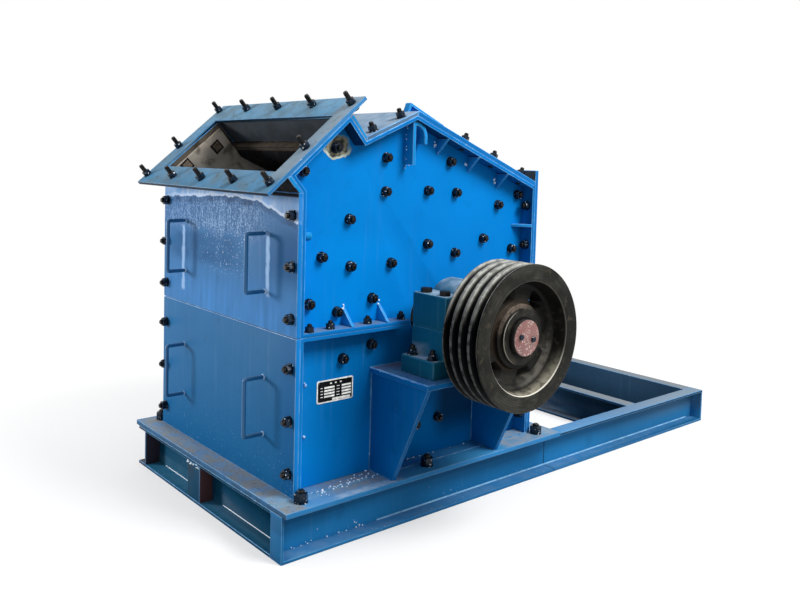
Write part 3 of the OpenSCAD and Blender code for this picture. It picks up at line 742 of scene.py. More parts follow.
def foot_plate_enamel(name):
    """Enamel on the foot plate under grey-brown dust before the doors and purple-grey
    dust beside the walls, rubbed blue towards its edge, and painted light in the pedestal's
    shade."""
    def film(tree, mm):
        x, y, _ = node(tree, SPLIT, {0: mm}, None).outputs
        up = facing_up(tree)
        ahead = product(tree, up, band(tree, x, 76, 66))
        beside = product(tree, up, near(tree, y, WALL_FACE - 38, 34, 18),
                         cloud(tree, mm, 34, 0.25, 0.55, 0.35, 1))
        return [
            # Rubbed patches, and stone dust with dark crumbs before the doors
            ("5F8BB2", up, cloud(tree, mm, 70, 0.35, 0.65, 0.1, 0.5)),
            ("7C7F80", ahead, cloud(tree, mm, 46, 0.3, 0.6, 0.35, 0.9)),
            ("4F4B46", ahead, cloud(tree, mm, 12, 0.55, 0.7, 0, 0.5)),
            # Beside the wall: worn blue, then grey dust, blue painted bright as light in
            # the pedestal's shade, and dust again
            ("6A9CBC", beside, band(tree, x, 230, 150), 0.4),
            ("7C8894", up, band(tree, y, 0, 20), near(tree, x, 310, 80, 80),
             cloud(tree, mm, 20, 0.3, 0.6, 0.4, 0.9)),
            ("308CC0", up, band(tree, x, 410, 500), 0.75),
            ("8C9AA8", up, near(tree, x, 1060, 130, 40),
             cloud(tree, mm, 30, 0.3, 0.6, 0.4, 0.9)),
            # A pale scuffed rim, crumbs, and the darker edge before the doors
            ("96AFC8", up, band(tree, y, 14, -6), near(tree, x, 300, 90, 60),
             cloud(tree, mm, 26, 0.3, 0.6, 0.3, 0.9)),
            ("D5E0EC", beside, cloud(tree, mm, 5, 0.66, 0.7), 0.7),
            ("33506C", looking(tree, (-1, 0, 0)), cloud(tree, mm, 40, 0.3, 0.6, 0.6, 0.9)),
        ]
    return enamel(name, "2F7CB6", dust=0.15, mottle=0.1, streaks=0.05,
                  roughness=0.6, extra=film)


def inlet_enamel(name):
    """Enamel on the inlet's flange: slate grey-blue where it is trodden and dusty, with
    brown smears, greyest along the arm on the pulley's side."""
    def film(tree, mm):
        x, y, z = node(tree, SPLIT, {0: mm}, None).outputs
        near_arm = band(tree, y, 330, 60)
        return [
            # Paler along the top bar, bluer on the arm on the pulley's side
            ("7BA4BE", band(tree, x, 190, 250), 0.35),
            ("4A86B0", near_arm, 0.3),
            # Slate film, pale corner, brown smears, and the clean sheared side
            ("5A707C", cloud(tree, mm, 80, 0.4, 0.65, 0, 0.7)),
            ("8493A0", band(tree, y, 150, 100), band(tree, z, 1060, 1110), 0.7),
            ("4B4843", cloud(tree, mm, 24, 0.55, 0.75, 0, 0.5)),
            ("3478B0", band(tree, y, INLET_EDGE.y + 2.4, INLET_EDGE.y + 1)),
        ] + shaded_lip(tree, mm)
    return enamel(name, "457799", dust=0.2, mottle=0.12, streaks=0.1,
                  roughness=0.55, extra=film)


def pedestal_enamel(name):
    """Enamel on the pedestals, with red-brown dust on the top plate beside the wall."""
    def marks(tree, mm):
        x, y, z = node(tree, SPLIT, {0: mm}, None).outputs
        up = facing_up(tree)
        red = product(tree, up, band(tree, y, 30, 84), cloud(tree, mm, 28, 0.3, 0.55))
        dull = product(tree, near(tree, x, 628, 130, 60), band(tree, z, 440, 470))
        return [
            # Red-brown dust, a duller top, and oil round the bearing's foot
            ("86686C", red, 0.7),
            ("1E4C74", up, 0.5),
            ("0B2E50", dull, 0.2),
        ]
    return enamel(name, "pedestal", dust=0.3, mottle=0.1, streaks=0.04, extra=marks)


def from_axis(tree, mm):
    """Distance from the rotor's axis, the point's turn round it drawn out as a ring, and
    the depth below the pulley's outer face, all in millimetres."""
    centred = node(tree, VECTOR, {0: mm, 1: (AXIS.x, 0, AXIS.z)}, operation="SUBTRACT")
    flat = node(tree, VECTOR, {0: centred, 1: (1, 0, 1)}, operation="MULTIPLY")
    radius = node(tree, VECTOR, {0: flat}, "Value", operation="LENGTH")
    turn = node(tree, VECTOR, {0: flat}, operation="NORMALIZE")
    deep = node(tree, MATH, {0: node(tree, SPLIT, {0: mm}, 1), 1: PULLEY_FACE},
                operation="SUBTRACT")
    return radius, turn, deep


def oiled_cast_iron(name):
    """Machined grey cast iron with an oil film: dark, turned in fine rings, worn on the
    crests, with painted highlights on ridges and edges at the upper left and lower right,
    painted shade on its sides, recess and grooves, and belt dust in the grooves."""
    material, tree, shader, mm = blank(name)
    radius, turn, deep = from_axis(tree, mm)
    step = node(tree, "ShaderNodeCombineXYZ", {1: product(tree, radius, 0.35)})
    ring = node(tree, VECTOR, {0: turn, 1: (3.0, 3.0, 3.0), 2: step},
                operation="MULTIPLY_ADD")
    rings = cloud(tree, ring, 1.0, 0.3, 0.7, 0.6, 1.45)
    ground = node(tree, VECTOR, {0: tint("iron")[:3], "Scale": rings},
                  operation="SCALE")
    lit, below, outer_low = (
        node(tree, VECTOR, {0: turn, 1: way}, "Value", operation="DOT_PRODUCT")
        for way in ((-0.42, 0, 0.91), (0.1, 0, -1), (0.78, 0, -0.62)))
    painted_upper_highlight, painted_lower_light = band(tree, lit, 0.6, 0.98), band(tree, below, 0.3, 0.98)
    across, _, up = node(tree, SPLIT, {0: turn}, None).outputs
    aside = node(tree, MATH, {0: across}, operation="ABSOLUTE")
    rim = band(tree, radius, 188, 192)
    grooved = product(tree, rim, band(tree, deep, 1.5, 3), band(tree, deep, 141, 139.5))
    layers = [
        # Oil in broad patches, painted shade to the left and right, and darker in the hub's
        # bore
        ("1B1B19", cloud(tree, mm, 70, 0.42, 0.62, 0, 0.75)),
        ("121210", band(tree, aside, 0.6, 1), 0.55),
        ("141412", band(tree, across, 0.15, 0.95), 0.62),
        ("141412", band(tree, radius, 86, 84), band(tree, deep, 30, 28), 0.4),
        ("4A4338", cloud(tree, mm, 20, 0.54, 0.7, 0, 0.5)),
        # The hub: browned by dust; painted shade round the cap, behind the rim and in the
        # upper recess
        ("6B5644", band(tree, radius, 120, 92), band(tree, deep, 40, 52), 0.45),
        ("0E0D0C", near(tree, radius, 59, 2.5, 2), band(tree, deep, 20, 24)),
        ("16181A", band(tree, radius, 176, 150), band(tree, deep, 20, 50), 0.4),
        ("060606", band(tree, radius, 112, 134), band(tree, radius, 171.5, 169.5),
         band(tree, deep, 2, 8), band(tree, up, 0.25, 0.75), 0.62),
        # Painted light and shade on the sides of web and hub: highlights lower right and
        # upper left, shade elsewhere
        ("77736A", near(tree, radius, 152, 8, 6), band(tree, deep, 40, 48),
         band(tree, outer_low, 0.6, 1), cloud(tree, mm, 24, 0.3, 0.6, 0.15, 0.5)),
        ("7A6C60", near(tree, radius, 91.5, 6, 1.5), band(tree, deep, 62, 54),
         band(tree, deep, 28, 34), band(tree, lit, 0.4, 1),
         cloud(tree, mm, 16, 0.35, 0.6, 0.25, 0.75)),
        ("060606", near(tree, radius, 91.5, 6, 1.5), band(tree, deep, 62, 54),
         band(tree, deep, 28, 34), band(tree, lit, 0.1, -0.6), 0.65),
        # The grooves: painted shade away from the upper left, darker deep in with belt
        # dust; painted highlight on the ridges at the upper left; worn crests
        ("020306", grooved, band(tree, lit, 0.92, 0.6), 0.93),
        ("030508", grooved, band(tree, radius, 221, 208), band(tree, lit, 1.2, 0.5)),
        ("C0C1BA", grooved, band(tree, radius, 210, 220), painted_upper_highlight,
         cloud(tree, mm, 26, 0.3, 0.6, 0.45, 1)),
        ("6E6E68", grooved, band(tree, radius, 219, 220.7),
         cloud(tree, mm, 18, 0.35, 0.6, 0.2, 0.8)),
        # Inside the rim: painted light low down, the machined lip faintly bright all round
        # with a painted highlight below, and a painted highlight on the hub's left edge
        ("908B7C", band(tree, radius, 157, 161), band(tree, radius, 171, 169.5),
         band(tree, deep, 46, 10), painted_lower_light, cloud(tree, mm, 20, 0.3, 0.6, 0.3, 1)),
        ("E0DCD0", near(tree, radius, 169, 2, 1), band(tree, deep, 6, 1),
         coats(tree, painted_lower_light, [(1.0, 0.15)], kind="FLOAT")),
        ("A8A49A", near(tree, radius, 84, 1.2, 1), band(tree, deep, 29, 27),
         band(tree, across, -0.2, -0.9)),
    ]
    tree.links.new(coats(tree, ground, layers), shader.inputs["Base Color"])
    shader.inputs["Specular IOR Level"].default_value = 0.07
    tree.links.new(cloud(tree, mm, 40, 0.3, 0.7, 0.3, 0.46), shader.inputs["Roughness"])
    relief(tree, shader, [(rings, 0.25), (cloud(tree, mm, 3, 0, 1), 0.1)])
    return material


def cap_primer(name):
    """Dull red primer brushed on the cap's face: rough and flecked pale, with its side
    painted dark grey as shade."""
    material, tree, shader, mm = blank(name)
    radius, _, deep = from_axis(tree, mm)
    face = product(tree, band(tree, deep, 13, 12), band(tree, radius, 54.5, 53))
    flecks = product(tree, cloud(tree, mm, 4.5, 0.52, 0.6), cloud(tree, mm, 26, 0.4, 0.56))
    red = coats(tree, "red", [
        ("8A514E", cloud(tree, mm, 18, 0.42, 0.62, 0, 0.6)),
        ("DCC8C4", flecks, 0.8),
        ("5A3A3A", cloud(tree, mm, 7, 0.62, 0.7, 0, 0.7)),
    ])
    # The cap's side is painted dark grey as shade; only the face takes the red.
    tree.links.new(coats(tree, "2C2A28", [(red, face)]), shader.inputs["Base Color"])
    shader.inputs["Roughness"].default_value = 0.5
    relief(tree, shader, [(cloud(tree, mm, 5, 0, 1), 0.8)])
    return material


def black_steel(name):
    """Blackened steel of nuts and bolts: oily black, tinted blue as a painted reflection of
    the walls, with small bright marks that are partly scratches and partly painted glints."""
    material, tree, shader, mm = blank(name)
    glint_and_scratch = cloud(tree, mm, 8, 0.685, 0.71, detail=1)
    shade = coats(tree, "black", [
        ("1D1A18", cloud(tree, mm, 14, 0.5, 0.7, 0, 0.3)), ("DDE2E8", glint_and_scratch, 0.9)])
    tree.links.new(shade, shader.inputs["Base Color"])
    shader.inputs["Specular IOR Level"].default_value = 0.22
    tree.links.new(cloud(tree, mm, 9, 0.3, 0.7, 0.14, 0.38), shader.inputs["Roughness"])
    relief(tree, shader, [(cloud(tree, mm, 3, 0, 1), 0.2)])
    return material


# Each finish by its name. Enamel is sprayed on mild steel and shows satin; an edge finish
# is the same enamel rubbed thin, with a painted highlight; the rest are bare, blackened or
# browned metals.
FINISHES = {
    "housing_enamel": housing_enamel,
    "lower_housing_enamel": lower_housing_enamel,
    # Enamel rubbed thin on sheared edges: a pale blue line, partly painted highlight, with
    # painted shade on the seam's flanges and the lip
    "housing_edge": partial(worn_edge_with_highlight, paint="0C86D8", pale="8CC8F2", extra=seam_and_lip_shade),
    # The housing's enamel on its small plates, a shade duller and dustier
    "trim_enamel": partial(enamel, paint="1088CC", dust=0.3, mottle=0.1),
    # The same enamel on the large plates that close the housing at the back
    "rear_enamel": partial(enamel, paint="0A6CB4", dust=0.2, mottle=0.06, streaks=0.08),
    "door_enamel": door_enamel,
    "lower_door_enamel": lower_door_enamel,
    # The doors' edges, rubbed to a milky blue line with a painted highlight, azure on the
    # side by the wall
    "door_edge": partial(worn_edge_with_highlight, paint="5C93CC", pale="A9CDF2", extra=sprayed_side),
    # Enamel on round bar, thick and glossier where hands polish it
    "handle_enamel": partial(enamel, paint="1E6396", dust=0.3, mottle=0.08,
                             roughness=0.3, gloss=0.45),
    "base_enamel": base_enamel,
    "feed_beam_enamel": feed_beam_enamel,
    "far_rail_enamel": far_rail_enamel,
    # The channels' rounded edges, a thin steel-blue line with a painted highlight, darker
    # near the ground
    "base_edge": partial(worn_edge_with_highlight, paint="2A78B0", pale="7CB0D6", amount=0.35,
                         extra=low_dark_edge),
    "foot_plate_enamel": foot_plate_enamel,
    "inlet_enamel": inlet_enamel,
    # Edges of the dusty plates: greyer, with a painted highlight, and nearly black with
    # painted shade where they look down
    "dusty_edge": partial(worn_edge_with_highlight, paint="2F72A8", pale="84B2D2", amount=0.4,
                          extra=shaded_lip),
    # Enamel dulled grey by settled stone dust
    "roof_enamel": partial(enamel, paint="587490", dust=0.55, mottle=0.1),
    "pedestal_enamel": pedestal_enamel,
    # The pedestals' edges, a soft line a little lighter than their plates, partly a painted
    # highlight
    "pedestal_edge": partial(worn_edge_with_highlight, paint="0E5F9E", pale="5C9CCB", amount=0.3),
    # Teal enamel over rough sand-cast iron
    "bearing_enamel": partial(enamel, paint="bearing", dust=0.75, mottle=0.12, gloss=0.14),
    # The casting's rounded corners, teal rubbed slightly paler, with a painted highlight
    "bearing_edge": partial(worn_edge_with_highlight, paint="0C5E78", pale="4E8DA6", amount=0.25),
    "oiled_cast_iron": oiled_cast_iron,
    # Bright turned steel, browned by handling
    "turned_steel": partial(metal, paint="8A8782", metallic=1.0, roughness=0.32,
                            stain="5B4A38"),
    "black_steel": black_steel,
    # Blackened thread with rust started in its roots
    "black_thread": partial(metal, paint="0A0A0C", roughness=0.35, stain="2A211A",
                            stain_share=0.3, gloss=0.2),
    # Black bolt heads with a little rust
    "rusty_bolt": partial(metal, paint="101113", roughness=0.45, stain="382C24", lump=16,
                          gloss=0.2),
    "cap_primer": cap_primer,
    # Wear plate rubbed bare and browned: rough, blotched and dull
    "liner_plate": partial(metal, paint="liner", roughness=0.7, stain_share=0.8, lump=70,
                           grain=8, bump=0.4, pale="B9AE9C", gloss=0.2),
    # The liners' bolt heads, ground down by rock to a dull brown
    "liner_bolt_steel": partial(metal, paint="6A5E50", roughness=0.6, stain="2C2620",
                                stain_share=0.6, lump=14, gloss=0.2),
    # Dark slate scale on plate that the rock seldom reaches
    "dark_plate": partial(metal, paint="3C4248", roughness=0.6, stain="33302D", lump=110,
                          grain=8, bump=0.3, gloss=0.12),
    # Hot-rolled scale: almost black, rough and without shine
    "black_scale": partial(metal, paint="101218", roughness=0.7, stain="2B211B",
                           stain_share=0.6, lump=50, grain=9, bump=0.8, gloss=0.1),
    # Breaker plate: black below, rubbed brown where the feed drops past its head
    "breaker_scale": partial(metal, paint="0C0E12", roughness=0.7, stain="2B211B", lump=50,
                             grain=9, bump=0.8, gloss=0.1, extra=rubbed_head),
    # Steel of discs and hammers, worn and browned
    "rotor_steel": partial(metal, paint="5A534B", metallic=0.5, roughness=0.55,
                           stain="3A2C22", lump=60, grain=6, bump=0.3),
    # Black enamel on thin aluminium sheet, finely scratched
    "data_plate_black": partial(enamel, paint="0A0B0E", dust=0.0, mottle=0.1,
                                streaks=0.02, specks=0.25, roughness=0.4),
    # Bare aluminium and printed cream on the data plate
    "data_plate_cream": partial(metal, paint="F0F1EA", roughness=0.45, stain="C4C8C4",
                                lump=12, bump=0.02),
    # Enamel over the housing's weld beads, bright along their crests as a painted highlight
    "weld_enamel": partial(worn_edge_with_highlight, paint="0C7ACA", pale="A9D6F8", amount=0.35),
    # Enamel over the welds of base and pedestals, duller and darker, with a faint painted
    # highlight
    "base_weld": partial(worn_edge_with_highlight, paint="1C6296", pale="7CB0D2", amount=0.3),
    # Milky enamel over the welds round the handles' feet, its paleness partly a painted
    # highlight
    "door_weld": partial(worn_edge_with_highlight, paint="4D90CC", pale="CFE7FB", amount=0.6),
    # Drops of weld metal under thin paint, painted nearly white as a glint
    "spatter": partial(worn_edge_with_highlight, paint="A9D8FA", pale="F2FAFF", amount=0.9),
}


def finish(name):
    """The material of that finish, made when it is first needed."""
    return bpy.data.materials.get(name) or FINISHES[name](name)


# ---- making pieces ----

def piece(name, mesh, body, replaced=()):
    """A finished piece at the origin that rides on a body."""
    made = bpy.data.objects.new(name, mesh)
    bpy.context.scene.collection.objects.link(made)
    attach(made, body)
    if replaced:
        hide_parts(*replaced)
    return made


def applied(carrier):
    """A plain mesh of the object with its modifiers; the object itself goes."""
    bpy.context.view_layer.update()
    shaped = carrier.evaluated_get(bpy.context.evaluated_depsgraph_get())
    mesh = bpy.data.meshes.new_from_object(shaped)
    bpy.data.objects.remove(carrier)
    return mesh


def carrier_of(name, mesh):
    """An object that carries modifiers until they are applied."""
    carrier = bpy.data.objects.new(name, mesh)
    bpy.context.scene.collection.objects.link(carrier)
    return carrier


def mark_edges(work, angle):
    """Weights the outer edges of a mesh for the bevel and keeps its inner corners crisp."""
    weight = work.edges.layers.float.new("bevel_weight_edge")
    for face in work.faces:
        face.smooth = True
    for edge in work.edges:
        if edge.is_manifold and edge.calc_face_angle() > angle:
            if edge.is_convex:
                edge[weight] = 1.0
            else:
                edge.smooth = False


def bevelled(name, mesh, width, segments=2):
    """The mesh with its weighted edges rounded, and its second finish on them."""
    carrier = carrier_of(name, mesh)
    rounding = carrier.modifiers.new("Worn edges", "BEVEL")
    rounding.limit_method = "WEIGHT"
    rounding.width = width
    rounding.segments = segments
    rounding.material = 1
    rounding.harden_normals = True
    return applied(carrier)


def plated(source, face, edge, body=FIXED, width=None, segments=2,
           other=None, way=None):
    """A CAD node's plates with worn edges, standing for the node. Faces that look the
    given way take the other finish."""
    width = width or bpy.context.scene.crusher_edges.plate
    work = bmesh.new()
    work.from_mesh(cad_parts[source].data)
    bmesh.ops.remove_doubles(work, verts=work.verts, dist=0.01 * MM)
    bmesh.ops.dissolve_limit(
        work, angle_limit=math.radians(1), verts=work.verts, edges=work.edges)
    mark_edges(work, math.radians(35))
    mesh = bpy.data.meshes.new(source + "_plates")
    for item in work.faces:
        turned = other and item.normal.dot(Vector(way)) > 0.7
        item.material_index = 2 if turned else 0
    work.to_mesh(mesh)
    work.free()
    for coat in (face, edge, other or face):
        mesh.materials.append(finish(coat))
    mesh = bevelled(source, mesh, width, segments)
    return piece(source + "_finished", mesh, body, (source,))


def rounded(section, steps=4):
    """A closed outline of (x, y, rounding) with each corner turned into a short curve."""
    outline = []
    for i, (x, y, cut) in enumerate(section):
        corner = Vector((x, y))
        ends = []
        for j in (i - 1, (i + 1) % len(section)):
            side = Vector(section[j][:2]) - corner
            ends.append(corner + side * min(cut / side.length, 0.45))
        for k in range(steps + 1):
            t = k / steps
            outline.append((1 - t) ** 2 * ends[0] + 2 * t * (1 - t) * corner
                           + t ** 2 * ends[1])
    return outline


def solid(name, work, *finishes):
    """A mesh from bmesh work, with outward faces and its finishes."""
    bmesh.ops.remove_doubles(work, verts=work.verts, dist=0.005 * MM)
    bmesh.ops.recalc_face_normals(work, faces=work.faces)
    mesh = bpy.data.meshes.new(name)
    work.to_mesh(mesh)
    work.free()
    for item in finishes:
        mesh.materials.append(finish(item))
    return mesh


def prism(work, outline, start, end, place):
    """Adds an outline, drawn out from start to end; place(u, v, w) gives its points."""
    loops = [[work.verts.new(place(u, v, w)) for u, v in outline] for w in (start, end)]
    count = len(outline)
    work.faces.new(loops[0])
    work.faces.new(list(reversed(loops[1])))
    for i in range(count):
        j = (i + 1) % count
        work.faces.new((loops[0][i], loops[1][i], loops[1][j], loops[0][j]))


# ---- Geometry Nodes trees ----

def lifted(tree, shape, height):
    """A shape moved up along Z."""
    up = node(tree, "ShaderNodeCombineXYZ", {2: height})
    return node(tree, "GeometryNodeTransform", {"Geometry": shape, "Translation": up})


def swept(tree, line, radius, sides):
    """A round bar with closed ends and of that radius along a line."""
    ring = node(tree, "GeometryNodeCurvePrimitiveCircle", {
        "Resolution": sides, "Radius": 1.0})
    return node(tree, "GeometryNodeCurveToMesh", {
        "Curve": line, "Profile Curve": ring, "Scale": radius, "Fill Caps": True})


def chamfered_prism(tree, sides, width, height):
    """A nut or bolt head along Z from 0 to its height, its corners turned off at both
    ends."""
    turn = node(tree, MATH, {0: math.pi, 1: sides}, operation="DIVIDE")
    flat = node(tree, MATH, {0: turn}, operation="COSINE")
    half = product(tree, width, 0.5)
    corner = node(tree, MATH, {0: half, 1: flat}, operation="DIVIDE")
    block = node(tree, "GeometryNodeMeshCylinder", {
        "Vertices": sides, "Radius": corner, "Depth": height})
    block = lifted(tree, block, product(tree, height, 0.5))
    top = node(tree, "ShaderNodeCombineXYZ", {2: height})
    line = node(tree, "GeometryNodeCurvePrimitiveLine", {"End": top})
    line = node(tree, "GeometryNodeResampleCurve", {
        "Curve": line, "Count": 9}, mode="COUNT")
    index = node(tree, "GeometryNodeInputIndex")
    inside = node(tree, MATH, {0: index, 1: 4}, operation="SUBTRACT")
    inside = node(tree, MATH, {0: inside}, operation="ABSOLUTE")
    radius = node(tree, RANGE, {
        0: inside, 1: 3.0, 2: 4.0, 3: product(tree, corner, 1.01),
        4: product(tree, half, 0.95)})
    return node(tree, "GeometryNodeMeshBoolean", {
        "Mesh 2": [block, swept(tree, line, radius, 20)]},
        "Mesh", operation="INTERSECT", solver="EXACT")


def threaded_bar(tree, diameter, end, pitch):
    """A threaded bar along Z, its thread drawn as ridges."""
    tip = node(tree, "ShaderNodeCombineXYZ", {2: end})
    line = node(tree, "GeometryNodeCurvePrimitiveLine", {"Start": (0, 0, 0), "End": tip})
    line = node(tree, "GeometryNodeResampleCurve", {
        "Curve": line, "Length": product(tree, pitch, 0.5)}, mode="LENGTH")
    index = node(tree, "GeometryNodeInputIndex")
    odd = node(tree, MATH, {0: index, 1: 2}, operation="MODULO")
    outer = product(tree, diameter, 0.5)
    radius = node(tree, RANGE, {0: odd, 3: product(tree, outer, 0.88), 4: outer})
    reached = node(tree, "GeometryNodeSplineParameter")
    taper = node(tree, RANGE, {0: reached, 1: 0.93, 2: 1.0, 3: 1.0, 4: 0.74})
    return swept(tree, line, product(tree, radius, taper), 12)


def on_points(tree, points, shape):
    """A shape on each point, turned as the point says."""
    turn = node(tree, "GeometryNodeInputNamedAttribute", {"Name": "turn"},
                data_type="FLOAT_VECTOR")
    turn = node(tree, "FunctionNodeEulerToRotation", {0: turn})
    return node(tree, "GeometryNodeInstanceOnPoints", {
        "Points": points, "Instance": shape, "Rotation": turn})


def nut_shapes(tree, use):
    """Washer, nut and the threaded end of a bolt on each point."""
    thick = use["Washer thickness"]
    nut = chamfered_prism(tree, 6, use["Nut width"], use["Nut height"])
    nut = lifted(tree, nut, thick)
    disc_r = product(tree, use["Washer"], 0.5)
    washer = node(tree, "GeometryNodeMeshCylinder", {
        "Vertices": 24, "Radius": disc_r, "Depth": thick})
    washer = lifted(tree, washer, product(tree, thick, 0.5))
    bar = threaded_bar(tree, use["Thread"], use["Thread end"], use["Thread pitch"])
    bar = node(tree, "GeometryNodeSetShadeSmooth", {"Geometry": bar})
    pair = node(tree, "GeometryNodeJoinGeometry", {0: [nut, washer]})
    return [(on_points(tree, use["Geometry"], pair), use["Nut finish"]),
            (on_points(tree, use["Geometry"], bar), use["Thread finish"])]


def head_shapes(tree, use):
    """A bolt head or a plain nut on each point."""
    shape = chamfered_prism(tree, use["Sides"], use["Width"], use["Height"])
    return [(on_points(tree, use["Geometry"], shape), use["Finish"])]


def bead_shapes(tree, use):
    """A rippled weld bead along each line."""
    line = node(tree, "GeometryNodeMeshToCurve", {"Mesh": use["Geometry"]})
    line = node(tree, "GeometryNodeResampleCurve", {
        "Curve": line, "Length": use["Ripple"]}, mode="LENGTH")
    stray = node(tree, "FunctionNodeRandomValue", {
        0: (-0.0006,) * 3, 1: (0.0006,) * 3, "Seed": use["Seed"]},
        data_type="FLOAT_VECTOR")
    line = node(tree, "GeometryNodeSetPosition", {"Geometry": line, "Offset": stray})
    swell = node(tree, "FunctionNodeRandomValue", {
        2: 0.7, 3: 1.2, "Seed": use["Seed"]}, 1, data_type="FLOAT")
    half = product(tree, use["Bead"], 0.5)
    shape = swept(tree, line, product(tree, swell, half), 7)
    shape = node(tree, "GeometryNodeSetShadeSmooth", {"Geometry": shape})
    return [(shape, use["Finish"])]


def bar_shapes(tree, use):
    """A round bar bent along each line."""
    line = node(tree, "GeometryNodeMeshToCurve", {"Mesh": use["Geometry"]})
    line = node(tree, "GeometryNodeFilletCurve", {
        "Curve": line, "Count": 8, "Radius": use["Bend"], "Limit Radius": True},
        mode="POLY")
    shape = swept(tree, line, product(tree, use["Bar"], 0.5), 20)
    shape = node(tree, "GeometryNodeSetShadeSmooth", {"Geometry": shape})
    return [(shape, use["Finish"])]


def drop_shapes(tree, use):
    """A drop of weld metal on each point, no two of one size."""
    half = product(tree, use["Drop"], 0.5)
    shape = node(tree, "GeometryNodeMeshIcoSphere", {"Radius": half, "Subdivisions": 2})
    shape = node(tree, "GeometryNodeSetShadeSmooth", {"Geometry": shape})
    grown_by = node(tree, "FunctionNodeRandomValue", {
        2: 0.5, 3: 1.3, "Seed": use["Seed"]}, 1, data_type="FLOAT")
    placed = node(tree, "GeometryNodeInstanceOnPoints", {
        "Points": use["Geometry"], "Instance": shape, "Scale": grown_by})
    return [(placed, use["Finish"])]


# What each tree makes of its points or lines, and its inputs with their defaults
TREES = {
    "Nut on bolt end": (nut_shapes, (
        ("Nut width", "Float", 0.03), ("Nut height", "Float", 0.018),
        ("Washer", "Float", 0.037), ("Washer thickness", "Float", 0.003),
        ("Thread", "Float", 0.02), ("Thread end", "Float", 0.03),
        ("Thread pitch", "Float", 0.0035),
        ("Nut finish", "Material", None), ("Thread finish", "Material", None))),
    "Bolt head": (head_shapes, (
        ("Sides", "Int", 6), ("Width", "Float", 0.03), ("Height", "Float", 0.013),
        ("Finish", "Material", None))),
    "Weld bead": (bead_shapes, (
        ("Bead", "Float", 0.008), ("Ripple", "Float", 0.006), ("Seed", "Int", 4),
        ("Finish", "Material", None))),
    "Bent bar": (bar_shapes, (
        ("Bar", "Float", 0.014), ("Bend", "Float", 0.02), ("Finish", "Material", None))),
    "Weld spatter": (drop_shapes, (
        ("Drop", "Float", 0.005), ("Seed", "Int", 4), ("Finish", "Material", None))),
}


def new_tree(name):
    """The tree of that name, which realizes its shapes and sets their finishes."""
    shapes, sockets = TREES[name]
    tree = bpy.data.node_groups.new(name, "GeometryNodeTree")
    for way in ("INPUT", "OUTPUT"):
        tree.interface.new_socket(
            "Geometry", in_out=way, socket_type="NodeSocketGeometry")
    for label, kind, default in sockets:
        item = tree.interface.new_socket(
            label, in_out="INPUT", socket_type="NodeSocket" + kind)
        if default is not None:
            item.default_value = default
    use = node(tree, "NodeGroupInput", out=None).outputs
    done = []
    for shape, coat in shapes(tree, use):
        shape = node(tree, "GeometryNodeRealizeInstances", {"Geometry": shape})
        done.append(node(tree, "GeometryNodeSetMaterial", {
            "Geometry": shape, "Material": coat}))
    if len(done) > 1:
        done = node(tree, "GeometryNodeJoinGeometry", {0: done})
    node(tree, "NodeGroupOutput", {0: done}, None)
    return tree


def grown(name, mesh, tree_name, values, body=FIXED):
    """The piece that a tree makes of a mesh of points or lines."""
    tree = bpy.data.node_groups.get(tree_name) or new_tree(tree_name)
    carrier = carrier_of(name + "_layout", mesh)
    modifier = carrier.modifiers.new(tree.name, "NODES")
    modifier.node_group = tree
    for item in tree.interface.items_tree:
        if item.in_out == "INPUT" and item.name in values:
            modifier[item.identifier] = values[item.name]
    made = applied(carrier)
    made.name = name
    return piece(name, made, body)


def points_mesh(name, spots, seed, roll=math.pi):
    """Points with the turn that sets Z along each one's aim, rolled as a fitter leaves
    them."""
    chance = random.Random(seed)
    mesh = bpy.data.meshes.new(name)
    mesh.from_pydata([at(*spot) for spot, aim in spots], [], [])
    turns = mesh.attributes.new("turn", "FLOAT_VECTOR", "POINT")
    for i, (spot, aim) in enumerate(spots):
        standing = Vector(aim).to_track_quat("Z", "Y").to_matrix()
        turned = standing @ Matrix.Rotation(chance.uniform(0, roll), 3, "Z")
        turns.data[i].vector = turned.to_euler()
    return mesh


def lines_mesh(name, lines):
    """A mesh of separate lines, each a list of points in millimetres."""
    mesh = bpy.data.meshes.new(name)
    points, edges = [], []
    for line in lines:
        edges += [(len(points) + i, len(points) + i + 1) for i in range(len(line) - 1)]
        points += [at(*p) for p in line]
    mesh.from_pydata(points, edges, [])
    return mesh


def both_sides(spots):
    """Spots on the near side and the same on the far side."""
    return spots + [((x, BASE_WIDTH - y, z), (a, -b, c))
                    for (x, y, z), (a, b, c) in spots]


def mirrored_lines(lines):
    """Lines on the near side and the same on the far side."""
    return lines + [[(x, BASE_WIDTH - y, z) for x, y, z in line] for line in lines]


def reversed_spots(spots, grip):
    """Where the heads of the same bolts sit, on the other face of what they hold."""
    return [
        (tuple(Vector(spot) - grip * Vector(aim).normalized()),
         tuple(-Vector(aim)))
        for spot, aim in spots
    ]


def or_usual(millimetres, usual):
    """A length given in millimetres, or else the usual one."""
    return millimetres * MM if millimetres else usual


def nuts(name, spots, length, width=None, height=None, washer=None, thread=None):
    """Nuts with washers on bolt ends that reach length out, in millimetres."""
    bolts = bpy.context.scene.crusher_bolts
    grown(name, points_mesh(name, spots, NUT_SEED), "Nut on bolt end", {
        "Nut width": or_usual(width, bolts.width),
        "Nut height": or_usual(height, bolts.height),
        "Washer": or_usual(washer, bolts.washer), "Washer thickness": bolts.washer_t,
        "Thread": or_usual(thread, bolts.thread), "Thread end": length * MM,
        "Thread pitch": bolts.pitch, "Nut finish": finish("black_steel"),
        "Thread finish": finish("black_thread"),
    })


def heads(name, spots, width, height, sides=6, coat="black_steel", body=FIXED,
          roll=math.pi):
    """Bolt heads with that many sides, in millimetres."""
    grown(name, points_mesh(name, spots, HEAD_SEED, roll), "Bolt head", {
        "Sides": sides, "Width": width * MM, "Height": height * MM,
        "Finish": finish(coat),
    }, body)


